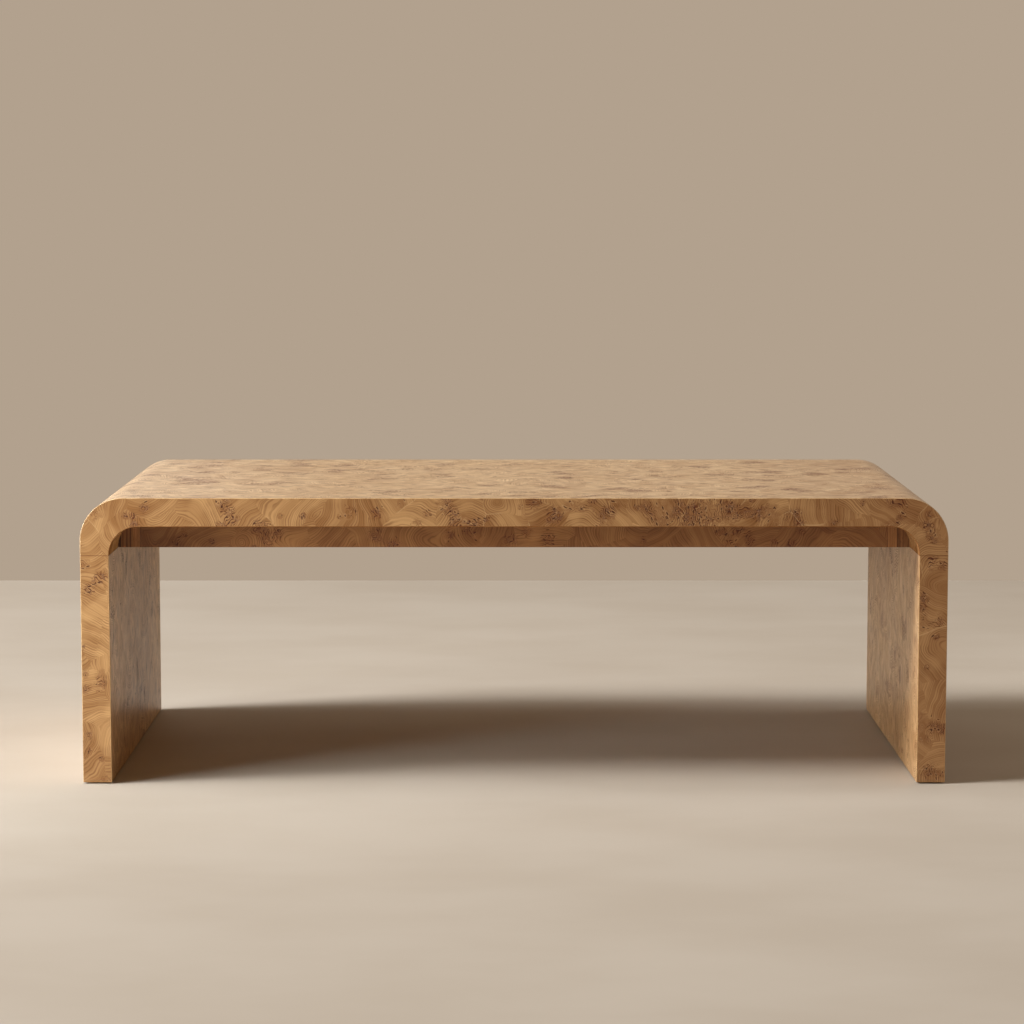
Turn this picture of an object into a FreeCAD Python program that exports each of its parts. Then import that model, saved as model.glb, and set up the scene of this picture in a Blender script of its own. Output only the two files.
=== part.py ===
import FreeCAD, Part
import math
import os

# Waterfall coffee table, in millimetres.
#
# A top and two slab legs of one thickness run into each other over rounded shoulders. Each slab is
# two boards glued face to face. The shoulders are blocks machined to the bend, joined to the slabs
# with loose tongues, and the whole carcase is veneered with burl. A low frame of rails set back
# under the top keeps it flat.
#
# +X runs along the table, +Y to the back and +Z up. The origin is on the floor, under the middle.

V = FreeCAD.Vector
OUT = "parts"
RIGHT, LEFT = 1, -1
FRONT, BACK = -1, 1
SIDES = {"left": LEFT, "right": RIGHT}
EDGES = {"front": FRONT, "back": BACK}

# Overall form
TABLE_LENGTH = 1200.0
TABLE_DEPTH = 600.0
TABLE_HEIGHT = 400.0
SHOULDER_RADIUS = 60.0       # outside of the bend between top and leg
COVE_RADIUS = 40.0           # inside of the bend, struck from its own centre
ARRIS_RADIUS = 0.8           # easing of every sharp edge of the veneer

# Slabs
BOARD_THICKNESS = 19.0       # one board; a slab is two of them
VENEER_THICKNESS = 1.0       # burl leaf with its backing

# Loose tongues between the slabs and the shoulder blocks
TONGUE_THICKNESS = 12.0
TONGUE_REACH = 14.0          # into each of the two pieces that it joins
TONGUE_SETBACK = 45.0        # from the table's front and back edges
GLUE_RELIEF = 1.0            # space past the ends of tongues and screws in their blind holes

# Frame under the top
RAIL_SETBACK = 100.0         # from the table's edge to the rail's face
RAIL_HEIGHT = 40.0
COPED_BLOCK_LENGTH = 18.0    # solid oak block shaped to the cove, at each end of a rail
END_STAVE_LENGTH = 14.0      # second stave of oak, between that block and the rail
CROSS_RAIL_COUNT = 3
CROSS_RAIL_THICKNESS = 19.0
CROSS_RAIL_HEIGHT = 32.0
HOUSING_DEPTH = 6.0          # how far a cross rail's end is let into the long rail
GLUE_BLOCK_LENGTH = 60.0
GLUE_BLOCK_LEG = 18.0        # of its triangular section

# Screws that hold the cross rails up to the top
RAIL_SCREW_LENGTH = 40.0
RAIL_SCREW_RADIUS = 2.0
RAIL_SCREW_HEAD_RADIUS = 4.0
RAIL_SCREW_HEAD_HEIGHT = 2.8
RAIL_SCREW_HEAD_CHAMFER = 1.2
RAIL_SCREW_INSET = 70.0      # from the rail's inner face to the screw
RAIL_SCREW_TIP = 4.0
COUNTERBORE_DEPTH = 8.0

# Glides under the legs
GLIDE_GAP = 2.0              # between leg and floor
GLIDE_SEAT_DEPTH = 3.0       # how far each glide is let into the leg
GLIDE_RADIUS = 13.0
GLIDE_CHAMFER = 0.8
GLIDE_SETBACK = 50.0         # from the table's edge to the glide's centre
GLIDE_SCREW_LENGTH = 20.0
GLIDE_SCREW_RADIUS = 1.75
GLIDE_SCREW_HEAD_RADIUS = 3.5
GLIDE_SCREW_HEAD_HEIGHT = 2.2
GLIDE_SCREW_TIP = 3.0
GLIDE_HEAD_RECESS = 1.0      # from the glide's sole to the screw's head

# Clearances
HOLE_CLEARANCE = 0.25        # radial, round a screw's shank in the piece that it clamps
PILOT_CLEARANCE = 0.05       # radial, round a screw's thread
SEAT_CLEARANCE = 0.2         # radial, round glides and screw heads

# What follows from the sizes above
HALF_LENGTH = TABLE_LENGTH / 2
HALF_DEPTH = TABLE_DEPTH / 2
PANEL_THICKNESS = 2 * (BOARD_THICKNESS + VENEER_THICKNESS)
KNEE_HALF_WIDTH = HALF_LENGTH - PANEL_THICKNESS
KNEE_HEIGHT = TABLE_HEIGHT - PANEL_THICKNESS
TOP_JOINT_X = KNEE_HALF_WIDTH - COVE_RADIUS
LEG_JOINT_Z = KNEE_HEIGHT - COVE_RADIUS
TOP_MIDDLE_Z = TABLE_HEIGHT - PANEL_THICKNESS / 2
LEG_MIDDLE_X = HALF_LENGTH - PANEL_THICKNESS / 2
CORE_HALF_DEPTH = HALF_DEPTH - VENEER_THICKNESS
RAIL_FACE_Y = HALF_DEPTH - RAIL_SETBACK
RAIL_CORE_Y = RAIL_FACE_Y - VENEER_THICKNESS
RAIL_INNER_Y = RAIL_CORE_Y - BOARD_THICKNESS
RAIL_FOOT_Z = KNEE_HEIGHT - RAIL_HEIGHT
COPED_BLOCK_X = KNEE_HALF_WIDTH - COPED_BLOCK_LENGTH
RAIL_END_X = COPED_BLOCK_X - END_STAVE_LENGTH
CROSS_RAIL_FOOT_Z = KNEE_HEIGHT - CROSS_RAIL_HEIGHT
CROSS_RAIL_PITCH = 2 * KNEE_HALF_WIDTH / (CROSS_RAIL_COUNT + 1)
RAIL_SCREW_HEAD_Z = CROSS_RAIL_FOOT_Z + COUNTERBORE_DEPTH


def block(x_span, y_span, z_span):
    """A rectangular block between two values on each axis, given in either order."""
    low = V(min(x_span), min(y_span), min(z_span))
    size = V(max(x_span), max(y_span), max(z_span)) - low
    return Part.makeBox(size.x, size.y, size.z, low)


def upright_cylinder(place, z_low, z_high, radius):
    """A round bar along Z, on the axis through place."""
    return Part.makeCylinder(radius, z_high - z_low, V(place[0], place[1], z_low))


def shouldered_form(half_width, crown, radius, half_depth):
    """A block that stands on the floor plane, with its two long top edges rounded to one radius."""
    spring = crown - radius
    bend = radius * (1 - math.cos(math.pi / 4))
    left_foot = V(-half_width, -half_depth, 0)
    left_spring = V(-half_width, -half_depth, spring)
    left_bend = V(-half_width + bend, -half_depth, crown - bend)
    left_crown = V(-half_width + radius, -half_depth, crown)
    right_crown = V(half_width - radius, -half_depth, crown)
    right_bend = V(half_width - bend, -half_depth, crown - bend)
    right_spring = V(half_width, -half_depth, spring)
    right_foot = V(half_width, -half_depth, 0)
    outline = [
        Part.LineSegment(left_foot, left_spring),
        Part.Arc(left_spring, left_bend, left_crown),
        Part.LineSegment(left_crown, right_crown),
        Part.Arc(right_crown, right_bend, right_spring),
        Part.LineSegment(right_spring, right_foot),
        Part.LineSegment(right_foot, left_foot),
    ]
    profile = Part.Face(Part.Wire([piece.toShape() for piece in outline]))
    return profile.extrude(V(0, 2 * half_depth, 0))


def outer_form(inset, half_depth):
    """The table as one solid block, its top and ends drawn in by inset."""
    return shouldered_form(
        HALF_LENGTH - inset, TABLE_HEIGHT - inset, SHOULDER_RADIUS - inset, half_depth
    )


def knee_form(growth, half_depth):
    """The space between the legs and under the top as a block, grown on all its sides."""
    return shouldered_form(
        KNEE_HALF_WIDTH + growth, KNEE_HEIGHT + growth, COVE_RADIUS + growth, half_depth
    )


def above_leg_joint():
    """Everything over the joint between the legs and the shoulder blocks."""
    reach = HALF_LENGTH + PANEL_THICKNESS
    return block((-reach, reach), (-reach, reach), (LEG_JOINT_Z, TABLE_HEIGHT + PANEL_THICKNESS))


def coped(shape):
    """The part of a shape that lies inside the knee space, so that it follows the coves."""
    return shape.common(knee_form(0, HALF_DEPTH)).removeSplitter()


def edges_on(shape, tests):
    """The edges whose middle passes every test, each of which is an axis name and a value."""
    tolerance = 1e-4
    return [
        edge
        for edge in shape.Edges
        if all(abs(getattr(edge.CenterOfMass, axis) - value) < tolerance for axis, value in tests)
    ]


def eased(shape, edges):
    """The shape with the given edges rounded to the arris radius."""
    return shape.makeFillet(ARRIS_RADIUS, edges)


# ---- Carcase: boards, shoulder blocks and the loose tongues between them


def slab_band():
    """The section of boards and shoulder blocks, before it is divided at its joints."""
    outside = outer_form(VENEER_THICKNESS, CORE_HALF_DEPTH)
    return outside.cut(knee_form(VENEER_THICKNESS, CORE_HALF_DEPTH))


def tongue_half_length():
    """Half the run of a loose tongue from front to back."""
    return HALF_DEPTH - TONGUE_SETBACK


def top_tongue(side, relief=0.0):
    """The tongue between top and shoulder block, or its groove when relief is given."""
    reach = TONGUE_REACH + relief
    run = tongue_half_length() + relief
    half = TONGUE_THICKNESS / 2
    x_span = (side * (TOP_JOINT_X - reach), side * (TOP_JOINT_X + reach))
    return block(x_span, (-run, run), (TOP_MIDDLE_Z - half, TOP_MIDDLE_Z + half))


def leg_tongue(side, relief=0.0):
    """The tongue between leg and shoulder block, or its groove when relief is given."""
    reach = TONGUE_REACH + relief
    run = tongue_half_length() + relief
    half = TONGUE_THICKNESS / 2
    x_span = (side * (LEG_MIDDLE_X - half), side * (LEG_MIDDLE_X + half))
    return block(x_span, (-run, run), (LEG_JOINT_Z - reach, LEG_JOINT_Z + reach))


def tongue_grooves():
    """All four grooves in one shape."""
    makers = (top_tongue, leg_tongue)
    return Part.makeCompound([make(side, GLUE_RELIEF) for make in makers for side in SIDES.values()])


def top_board(z_low, z_high):
    """One of the two boards of the top, between the shoulder blocks."""
    board = block(
        (-TOP_JOINT_X, TOP_JOINT_X), (-CORE_HALF_DEPTH, CORE_HALF_DEPTH), (z_low, z_high)
    )
    return board.cut(tongue_grooves())


def leg_board(side, x_low, x_high):
    """One of the two boards of a leg, with its share of the glide seats."""
    board = block(
        (side * x_low, side * x_high),
        (-CORE_HALF_DEPTH, CORE_HALF_DEPTH),
        (GLIDE_GAP, LEG_JOINT_Z),
    )
    return board.cut(tongue_grooves()).cut(glide_seats())


def shoulder_block(side):
    """The machined block that turns the slab from level to upright.

    Its outside and inside are struck from different centres, so the slab grows thicker through
    the bend, and it is grooved for a tongue on both of its joint faces.
    """
    zone = block(
        (side * TOP_JOINT_X, side * HALF_LENGTH), (-HALF_DEPTH, HALF_DEPTH), (LEG_JOINT_Z, TABLE_HEIGHT)
    )
    return slab_band().common(zone).cut(tongue_grooves()).removeSplitter()


def carcase():
    """Boards, shoulder blocks and tongues by node name."""
    nodes = {}
    core_low = KNEE_HEIGHT + VENEER_THICKNESS
    core_high = TABLE_HEIGHT - VENEER_THICKNESS
    nodes["top_board_upper"] = top_board(TOP_MIDDLE_Z, core_high)
    nodes["top_board_lower"] = top_board(core_low, TOP_MIDDLE_Z).cut(rail_screw_pilots())
    for name, side in SIDES.items():
        leg_inside = KNEE_HALF_WIDTH + VENEER_THICKNESS
        leg_outside = HALF_LENGTH - VENEER_THICKNESS
        nodes[f"leg_board_outer_{name}"] = leg_board(side, LEG_MIDDLE_X, leg_outside)
        nodes[f"leg_board_inner_{name}"] = leg_board(side, leg_inside, LEG_MIDDLE_X)
        nodes[f"shoulder_block_{name}"] = shoulder_block(side)
        nodes[f"top_tongue_{name}"] = top_tongue(side)
        nodes[f"leg_tongue_{name}"] = leg_tongue(side)
    return nodes


# ---- Veneer: leaves that wrap the top and its shoulders, and leaves on each leg


def wrap_over_top():
    """The outer leaf, from one leg joint over both shoulders to the other."""
    leaf = outer_form(0, HALF_DEPTH).cut(outer_form(VENEER_THICKNESS, HALF_DEPTH))
    leaf = leaf.common(above_leg_joint())
    arrises = [edge for edge in leaf.Edges if on_rim(edge) and outside_of(edge, VENEER_THICKNESS)]
    return eased(leaf, arrises)


def wrap_under_top():
    """The inner leaf, up one cove, along the underside and down the other cove."""
    leaf = knee_form(VENEER_THICKNESS, HALF_DEPTH).cut(knee_form(0, HALF_DEPTH))
    leaf = leaf.common(above_leg_joint())
    arrises = [edge for edge in leaf.Edges if on_rim(edge) and inside_of(edge)]
    return eased(leaf, arrises).cut(rail_screw_pilots())


def on_rim(edge):
    """True for an edge that runs along the table's front or back face."""
    flat_in_y = edge.BoundBox.YLength < VENEER_THICKNESS / 2
    return flat_in_y and edge.Length > 2 * VENEER_THICKNESS


def outside_of(edge, inset):
    """True for an edge on the table's outer surface, which the form drawn in doesn't reach."""
    middle = edge.valueAt((edge.FirstParameter + edge.LastParameter) / 2)
    return not outer_form(inset / 2, HALF_DEPTH).isInside(middle, 1e-6, True)


def inside_of(edge):
    """True for an edge on the knee space's own surface."""
    middle = edge.valueAt((edge.FirstParameter + edge.LastParameter) / 2)
    return knee_form(VENEER_THICKNESS / 2, HALF_DEPTH).isInside(middle, 1e-6, True)


def arch_band(edge_side):
    """The edge leaf over the top and both shoulders, between the two wraps."""
    y_span = (edge_side * CORE_HALF_DEPTH, edge_side * HALF_DEPTH)
    band = outer_form(VENEER_THICKNESS, HALF_DEPTH).cut(knee_form(VENEER_THICKNESS, HALF_DEPTH))
    zone = block((-HALF_LENGTH, HALF_LENGTH), y_span, (LEG_JOINT_Z, TABLE_HEIGHT))
    return band.common(zone).removeSplitter()


def leg_face_leaf(side, x_back, x_face):
    """A leaf on one face of a leg, from the floor gap to the leg joint, eased at three edges."""
    leaf = block(
        (side * x_back, side * x_face), (-HALF_DEPTH, HALF_DEPTH), (GLIDE_GAP, LEG_JOINT_Z)
    )
    face = side * x_face
    arrises = edges_on(leaf, (("x", face), ("y", -HALF_DEPTH)))
    arrises += edges_on(leaf, (("x", face), ("y", HALF_DEPTH)))
    arrises += edges_on(leaf, (("x", face), ("z", GLIDE_GAP)))
    return eased(leaf, arrises)


def leg_edge_band(side, edge_side):
    """The leaf on one narrow edge of a leg, eased at its foot."""
    x_span = (side * (KNEE_HALF_WIDTH + VENEER_THICKNESS), side * (HALF_LENGTH - VENEER_THICKNESS))
    y_span = (edge_side * CORE_HALF_DEPTH, edge_side * HALF_DEPTH)
    band = block(x_span, y_span, (GLIDE_GAP, LEG_JOINT_Z))
    return eased(band, edges_on(band, (("y", edge_side * HALF_DEPTH), ("z", GLIDE_GAP))))


def veneers():
    """Every leaf on the top, shoulders and legs by node name."""
    nodes = {"veneer_wrap_over_top": wrap_over_top(), "veneer_wrap_under_top": wrap_under_top()}
    for edge_name, edge_side in EDGES.items():
        nodes[f"veneer_arch_band_{edge_name}"] = arch_band(edge_side)
    for name, side in SIDES.items():
        outer_back = HALF_LENGTH - VENEER_THICKNESS
        inner_back = KNEE_HALF_WIDTH + VENEER_THICKNESS
        nodes[f"veneer_leg_outer_{name}"] = leg_face_leaf(side, outer_back, HALF_LENGTH)
        nodes[f"veneer_leg_inner_{name}"] = leg_face_leaf(side, inner_back, KNEE_HALF_WIDTH)
        for edge_name, edge_side in EDGES.items():
            nodes[f"veneer_leg_edge_{edge_name}_{name}"] = leg_edge_band(side, edge_side)
    return nodes


# ---- Frame under the top: two long rails with coped ends, and cross rails between them


def cross_rail_centres():
    """The X of each cross rail, evenly spaced between the legs."""
    first = -CROSS_RAIL_PITCH * (CROSS_RAIL_COUNT - 1) / 2
    return [first + CROSS_RAIL_PITCH * index for index in range(CROSS_RAIL_COUNT)]


def cross_rail_bar(x_centre):
    """The plain bar of a cross rail, with its ends let into both long rails."""
    half = CROSS_RAIL_THICKNESS / 2
    reach = RAIL_INNER_Y + HOUSING_DEPTH
    return block(
        (x_centre - half, x_centre + half), (-reach, reach), (CROSS_RAIL_FOOT_Z, KNEE_HEIGHT)
    )


def rail_core(edge_side):
    """The board of a long rail, above its foot leaf, with a stopped housing for each cross rail."""
    board = block(
        (-RAIL_END_X, RAIL_END_X),
        (edge_side * RAIL_INNER_Y, edge_side * RAIL_CORE_Y),
        (RAIL_FOOT_Z + VENEER_THICKNESS, KNEE_HEIGHT),
    )
    bars = [cross_rail_bar(x_centre) for x_centre in cross_rail_centres()]
    return coped(board).cut(bars)


def rail_face_leaf(edge_side):
    """The burl leaf on a long rail's outer face."""
    y_span = (edge_side * RAIL_CORE_Y, edge_side * RAIL_FACE_Y)
    return coped(block((-RAIL_END_X, RAIL_END_X), y_span, (RAIL_FOOT_Z, KNEE_HEIGHT)))


def rail_foot_leaf(edge_side):
    """The leaf under a long rail, behind its face leaf."""
    y_span = (edge_side * RAIL_INNER_Y, edge_side * RAIL_CORE_Y)
    z_span = (RAIL_FOOT_Z, RAIL_FOOT_Z + VENEER_THICKNESS)
    return block((-RAIL_END_X, RAIL_END_X), y_span, z_span)


def rail_end_piece(side, edge_side, x_near, x_far):
    """A piece of solid oak at the end of a long rail, shaped to the cove above it."""
    y_span = (edge_side * RAIL_INNER_Y, edge_side * RAIL_FACE_Y)
    return coped(block((side * x_near, side * x_far), y_span, (RAIL_FOOT_Z, KNEE_HEIGHT)))


def rail_screw_places():
    """The X and Y of each screw that holds a cross rail up to the top."""
    run = RAIL_INNER_Y - RAIL_SCREW_INSET
    return [(x, y) for x in cross_rail_centres() for y in (-run, run)]


def rail_screw_pilots():
    """The holes for those screws in the underside leaf and the lower board."""
    tip = RAIL_SCREW_HEAD_Z + RAIL_SCREW_LENGTH
    radius = RAIL_SCREW_RADIUS + PILOT_CLEARANCE
    holes = [
        upright_cylinder(place, KNEE_HEIGHT - GLUE_RELIEF, tip + GLUE_RELIEF, radius)
        for place in rail_screw_places()
    ]
    return Part.makeCompound(holes)


def cross_rail(x_centre):
    """One cross rail, bored and counterbored from below for its two screws."""
    rail = cross_rail_bar(x_centre)
    shank_radius = RAIL_SCREW_RADIUS + HOLE_CLEARANCE
    head_radius = RAIL_SCREW_HEAD_RADIUS + SEAT_CLEARANCE
    for place in rail_screw_places():
        shank_hole = upright_cylinder(place, CROSS_RAIL_FOOT_Z, KNEE_HEIGHT, shank_radius)
        counterbore = upright_cylinder(place, CROSS_RAIL_FOOT_Z, RAIL_SCREW_HEAD_Z, head_radius)
        rail = rail.cut([shank_hole, counterbore])
    return rail


def glue_block(x_centre, edge_side):
    """A three-cornered block glued into the angle between a long rail and the underside."""
    start = x_centre - GLUE_BLOCK_LENGTH / 2
    corner = V(start, edge_side * RAIL_INNER_Y, KNEE_HEIGHT)
    along_top = corner - V(0, edge_side * GLUE_BLOCK_LEG, 0)
    down_rail = corner - V(0, 0, GLUE_BLOCK_LEG)
    section = Part.Face(Part.makePolygon([corner, along_top, down_rail, corner]))
    return section.extrude(V(GLUE_BLOCK_LENGTH, 0, 0))


def glue_blocks():
    """A glue block in the middle of each bay of the frame, along both long rails."""
    bays = CROSS_RAIL_COUNT + 1
    first = -CROSS_RAIL_PITCH * (bays - 1) / 2
    centres = [first + CROSS_RAIL_PITCH * index for index in range(bays)]
    return Part.makeCompound(
        [glue_block(x, edge_side) for x in centres for edge_side in EDGES.values()]
    )


def frame_under_top():
    """Rails, their leaves and end pieces, and glue blocks by node name."""
    nodes = {}
    for edge_name, edge_side in EDGES.items():
        nodes[f"rail_core_{edge_name}"] = rail_core(edge_side)
        nodes[f"veneer_rail_face_{edge_name}"] = rail_face_leaf(edge_side)
        nodes[f"veneer_rail_foot_{edge_name}"] = rail_foot_leaf(edge_side)
        for name, side in SIDES.items():
            stave = rail_end_piece(side, edge_side, RAIL_END_X, COPED_BLOCK_X)
            nodes[f"rail_end_stave_{edge_name}_{name}"] = stave
            cope = rail_end_piece(side, edge_side, COPED_BLOCK_X, KNEE_HALF_WIDTH)
            nodes[f"rail_coped_block_{edge_name}_{name}"] = cope
    for number, x_centre in enumerate(cross_rail_centres(), start=1):
        nodes[f"cross_rail_{number}"] = cross_rail(x_centre)
    nodes["glue_blocks"] = glue_blocks()
    return nodes


# ---- Screws and glides


def rail_screw(place):
    """A pan-head wood screw that points up, with its head against the counterbore's floor."""
    tip = RAIL_SCREW_HEAD_Z + RAIL_SCREW_LENGTH
    shoulder = tip - RAIL_SCREW_TIP
    head_foot = RAIL_SCREW_HEAD_Z - RAIL_SCREW_HEAD_HEIGHT
    head = upright_cylinder(place, head_foot, RAIL_SCREW_HEAD_Z, RAIL_SCREW_HEAD_RADIUS)
    head = head.makeChamfer(RAIL_SCREW_HEAD_CHAMFER, edges_on(head, (("z", head_foot),)))
    shank = upright_cylinder(place, RAIL_SCREW_HEAD_Z, shoulder, RAIL_SCREW_RADIUS)
    point = Part.makeCone(RAIL_SCREW_RADIUS, 0, RAIL_SCREW_TIP, V(place[0], place[1], shoulder))
    return head.fuse([shank, point]).removeSplitter()


def glide_places():
    """The X and Y of each glide, two under each leg."""
    run = HALF_DEPTH - GLIDE_SETBACK
    return [(side * LEG_MIDDLE_X, y) for side in SIDES.values() for y in (-run, run)]


def glide_seats():
    """The seats of the glides and the pilot holes of their screws, in one shape."""
    seats = []
    seat_top = GLIDE_GAP + GLIDE_SEAT_DEPTH
    tip = GLIDE_HEAD_RECESS + GLIDE_SCREW_LENGTH
    for place in glide_places():
        seats.append(upright_cylinder(place, 0, seat_top, GLIDE_RADIUS + SEAT_CLEARANCE))
        pilot_radius = GLIDE_SCREW_RADIUS + PILOT_CLEARANCE
        seats.append(upright_cylinder(place, 0, tip + GLUE_RELIEF, pilot_radius))
    return Part.makeCompound(seats)


def glide(place):
    """A round nylon glide, countersunk for its screw and chamfered round its sole."""
    glide_top = GLIDE_GAP + GLIDE_SEAT_DEPTH
    pad = upright_cylinder(place, 0, glide_top, GLIDE_RADIUS)
    pad = pad.makeChamfer(GLIDE_CHAMFER, edges_on(pad, (("z", 0.0),)))
    cone_slope = (GLIDE_SCREW_HEAD_RADIUS - GLIDE_SCREW_RADIUS) / GLIDE_SCREW_HEAD_HEIGHT
    hole_radius = GLIDE_SCREW_RADIUS + SEAT_CLEARANCE
    mouth_radius = GLIDE_SCREW_HEAD_RADIUS + SEAT_CLEARANCE + cone_slope * GLIDE_HEAD_RECESS
    neck = GLIDE_HEAD_RECESS + GLIDE_SCREW_HEAD_HEIGHT
    countersink = Part.makeCone(mouth_radius, hole_radius, neck, V(place[0], place[1], 0))
    return pad.cut([countersink, upright_cylinder(place, neck, glide_top, hole_radius)])


def glide_screw(place):
    """A countersunk wood screw that points up through its glide into the leg."""
    x, y = place
    neck = GLIDE_HEAD_RECESS + GLIDE_SCREW_HEAD_HEIGHT
    shoulder = GLIDE_HEAD_RECESS + GLIDE_SCREW_LENGTH - GLIDE_SCREW_TIP
    head = Part.makeCone(
        GLIDE_SCREW_HEAD_RADIUS, GLIDE_SCREW_RADIUS, GLIDE_SCREW_HEAD_HEIGHT, V(x, y, GLIDE_HEAD_RECESS)
    )
    shank = upright_cylinder(place, neck, shoulder, GLIDE_SCREW_RADIUS)
    point = Part.makeCone(GLIDE_SCREW_RADIUS, 0, GLIDE_SCREW_TIP, V(x, y, shoulder))
    return head.fuse([shank, point]).removeSplitter()


def hardware():
    """Screws and glides, each kind in one node."""
    return {
        "rail_screws": Part.makeCompound([rail_screw(place) for place in rail_screw_places()]),
        "glides": Part.makeCompound([glide(place) for place in glide_places()]),
        "glide_screws": Part.makeCompound([glide_screw(place) for place in glide_places()]),
    }


def build():
    """Makes every piece and writes each node to its own STEP file."""
    os.makedirs(OUT, exist_ok=True)
    nodes = {**carcase(), **veneers(), **frame_under_top(), **hardware()}
    for name, shape in nodes.items():
        shape.exportStep(f"{OUT}/{name}.step")
        volume = shape.Volume / 1000
        print(f"{name}: {len(shape.Solids)} solid(s), {volume:.1f} cm3, valid {shape.isValid()}")


build()
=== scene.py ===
"""Looks of a waterfall coffee table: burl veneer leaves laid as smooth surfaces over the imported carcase."""

from __future__ import annotations

import logging
import math
from dataclasses import dataclass, replace
from enum import Enum
from functools import partial, reduce

import bpy
import numpy as np
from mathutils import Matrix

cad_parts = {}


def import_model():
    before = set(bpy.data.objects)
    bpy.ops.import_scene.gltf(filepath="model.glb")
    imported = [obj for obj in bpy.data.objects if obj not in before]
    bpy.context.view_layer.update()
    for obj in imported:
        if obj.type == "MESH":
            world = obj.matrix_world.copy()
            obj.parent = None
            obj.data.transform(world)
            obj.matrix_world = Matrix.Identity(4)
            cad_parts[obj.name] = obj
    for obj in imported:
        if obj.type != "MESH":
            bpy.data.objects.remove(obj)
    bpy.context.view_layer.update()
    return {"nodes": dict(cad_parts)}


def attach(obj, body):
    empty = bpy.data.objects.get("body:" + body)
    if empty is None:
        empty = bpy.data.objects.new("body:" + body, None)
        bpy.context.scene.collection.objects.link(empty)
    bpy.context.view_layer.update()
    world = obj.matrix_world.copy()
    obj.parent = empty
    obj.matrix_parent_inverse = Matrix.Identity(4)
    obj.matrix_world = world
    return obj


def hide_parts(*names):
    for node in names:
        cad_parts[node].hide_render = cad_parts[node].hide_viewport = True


LOG = logging.getLogger("coffee_table")
MILLI = 0.001
BODY = "root"
LEAF_MAP = "Leaf"
BURR = "burl"
ARRIS_STRIP = "arris"
QUARTER = math.pi / 2
FULL = 2.0 * math.pi
FLAT = (1.0, 1.0, 0.0)
SHARP_ANGLE = math.radians(40.0)
TINY = 1e-6

FLAT_NOISE = {"noise_dimensions": "2D"}
COLOUR_MIX = {"data_type": "RGBA", "clamp_factor": True}

# A mix of colours shares the names of its sockets with other mixes, so they go by number.
MIX_SHARE, MIX_FIRST, MIX_SECOND, MIX_RESULT = 0, 6, 7, 2

Colour = tuple[int, int, int]
Point = tuple[float, float, float]
Spot = tuple[float, float]
Pair = tuple[float, float]
Knots = tuple[tuple[int, int, int], ...]
Mesh = tuple[np.ndarray, np.ndarray]

# The burr knots of the four leaves that have chosen ones: x, z and radius of each, in millimetres.
FRONT_BAND_KNOTS: Knots = (
    (-576, 379, 5), (-568, 377, 4), (-578, 372, 4), (-536, 375, 4), (-527, 375, 5), (-524, 362, 6),
    (-511, 387, 7), (-401, 391, 10), (-392, 384, 7), (-390, 371, 9), (-403, 362, 8), (-350, 361, 10),
    (-340, 360, 8), (-226, 381, 7), (-190, 378, 8), (-231, 381, 7), (-155, 393, 6), (-120, 380, 7),
    (-134, 365, 6), (-98, 391, 9), (-90, 386, 8), (-81, 374, 8), (-81, 364, 7), (-68, 369, 7),
    (-52, 364, 7), (28, 395, 9), (56, 378, 12), (78, 390, 8), (92, 388, 8), (107, 395, 5), (129, 380, 12),
    (127, 362, 9), (183, 387, 9), (196, 377, 11), (205, 367, 11), (212, 383, 13), (224, 388, 10),
    (243, 380, 9), (246, 362, 15), (262, 384, 13), (270, 376, 11), (290, 386, 10), (300, 383, 9),
    (316, 380, 9), (332, 378, 8), (300, 369, 8), (342, 379, 9), (354, 383, 7), (362, 372, 8),
    (387, 376, 9), (392, 362, 6), (440, 366, 6), (522, 393, 7), (534, 393, 7), (533, 372, 7),
    (515, 363, 8), (570, 363, 7), (575, 352, 8), (582, 345, 8),
)
LEFT_LEG_KNOTS: Knots = (
    (-594, 308, 7), (-576, 288, 7), (-568, 291, 5), (-587, 273, 7), (-596, 153, 5), (-594, 134, 6),
    (-573, 152, 7), (-573, 141, 7), (-570, 6, 6), (-591, 70, 4), (-592, 48, 4),
)
RIGHT_LEG_KNOTS: Knots = (
    (578, 314, 8), (595, 306, 7), (566, 262, 6), (563, 248, 8), (568, 226, 9), (588, 228, 7),
    (565, 95, 7), (565, 81, 8), (583, 82, 8), (596, 78, 7), (569, 64, 8), (575, 17, 8), (592, 15, 7),
)
FRONT_RAIL_KNOTS: Knots = (
    (-468, 338, 5), (-479, 327, 7), (-362, 345, 9), (-353, 339, 9), (-336, 339, 9), (-347, 330, 7),
    (-197, 338, 9), (-172, 324, 9), (-93, 338, 8), (-67, 344, 6), (-53, 332, 8), (-5, 331, 9),
    (18, 342, 7), (49, 331, 9), (289, 341, 5), (296, 342, 5), (314, 342, 7), (330, 337, 6), (333, 328, 7),
    (303, 325, 7), (392, 325, 6), (406, 342, 6),
)


class Side(Enum):
    """An end of the table, by the sign of x there."""

    LEFT = -1
    RIGHT = 1


class Face(Enum):
    """A long side of the table, by the sign of y there."""

    FRONT = -1
    BACK = 1


class Figure(Enum):
    """How thickly burrs are strewn on a leaf: clusters per square metre, and the usual radius in metres."""

    SPARSE = (60.0, 0.008)
    LIVELY = (130.0, 0.009)
    DENSE = (220.0, 0.009)
    STREAKED = (150.0, 0.012)


class Feature(Enum):
    """What the distance in a pattern of cells is measured to."""

    MIDDLE = "F1"
    BORDER = "DISTANCE_TO_EDGE"


class Slot(Enum):
    """The record's material slots that go with the finishes of the new pieces."""

    BURL = "burl_veneer"
    STEEL = "zinc_steel"
    NYLON = "nylon"


# ---- Shader sums ----------------------------------------------------------------------------


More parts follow.
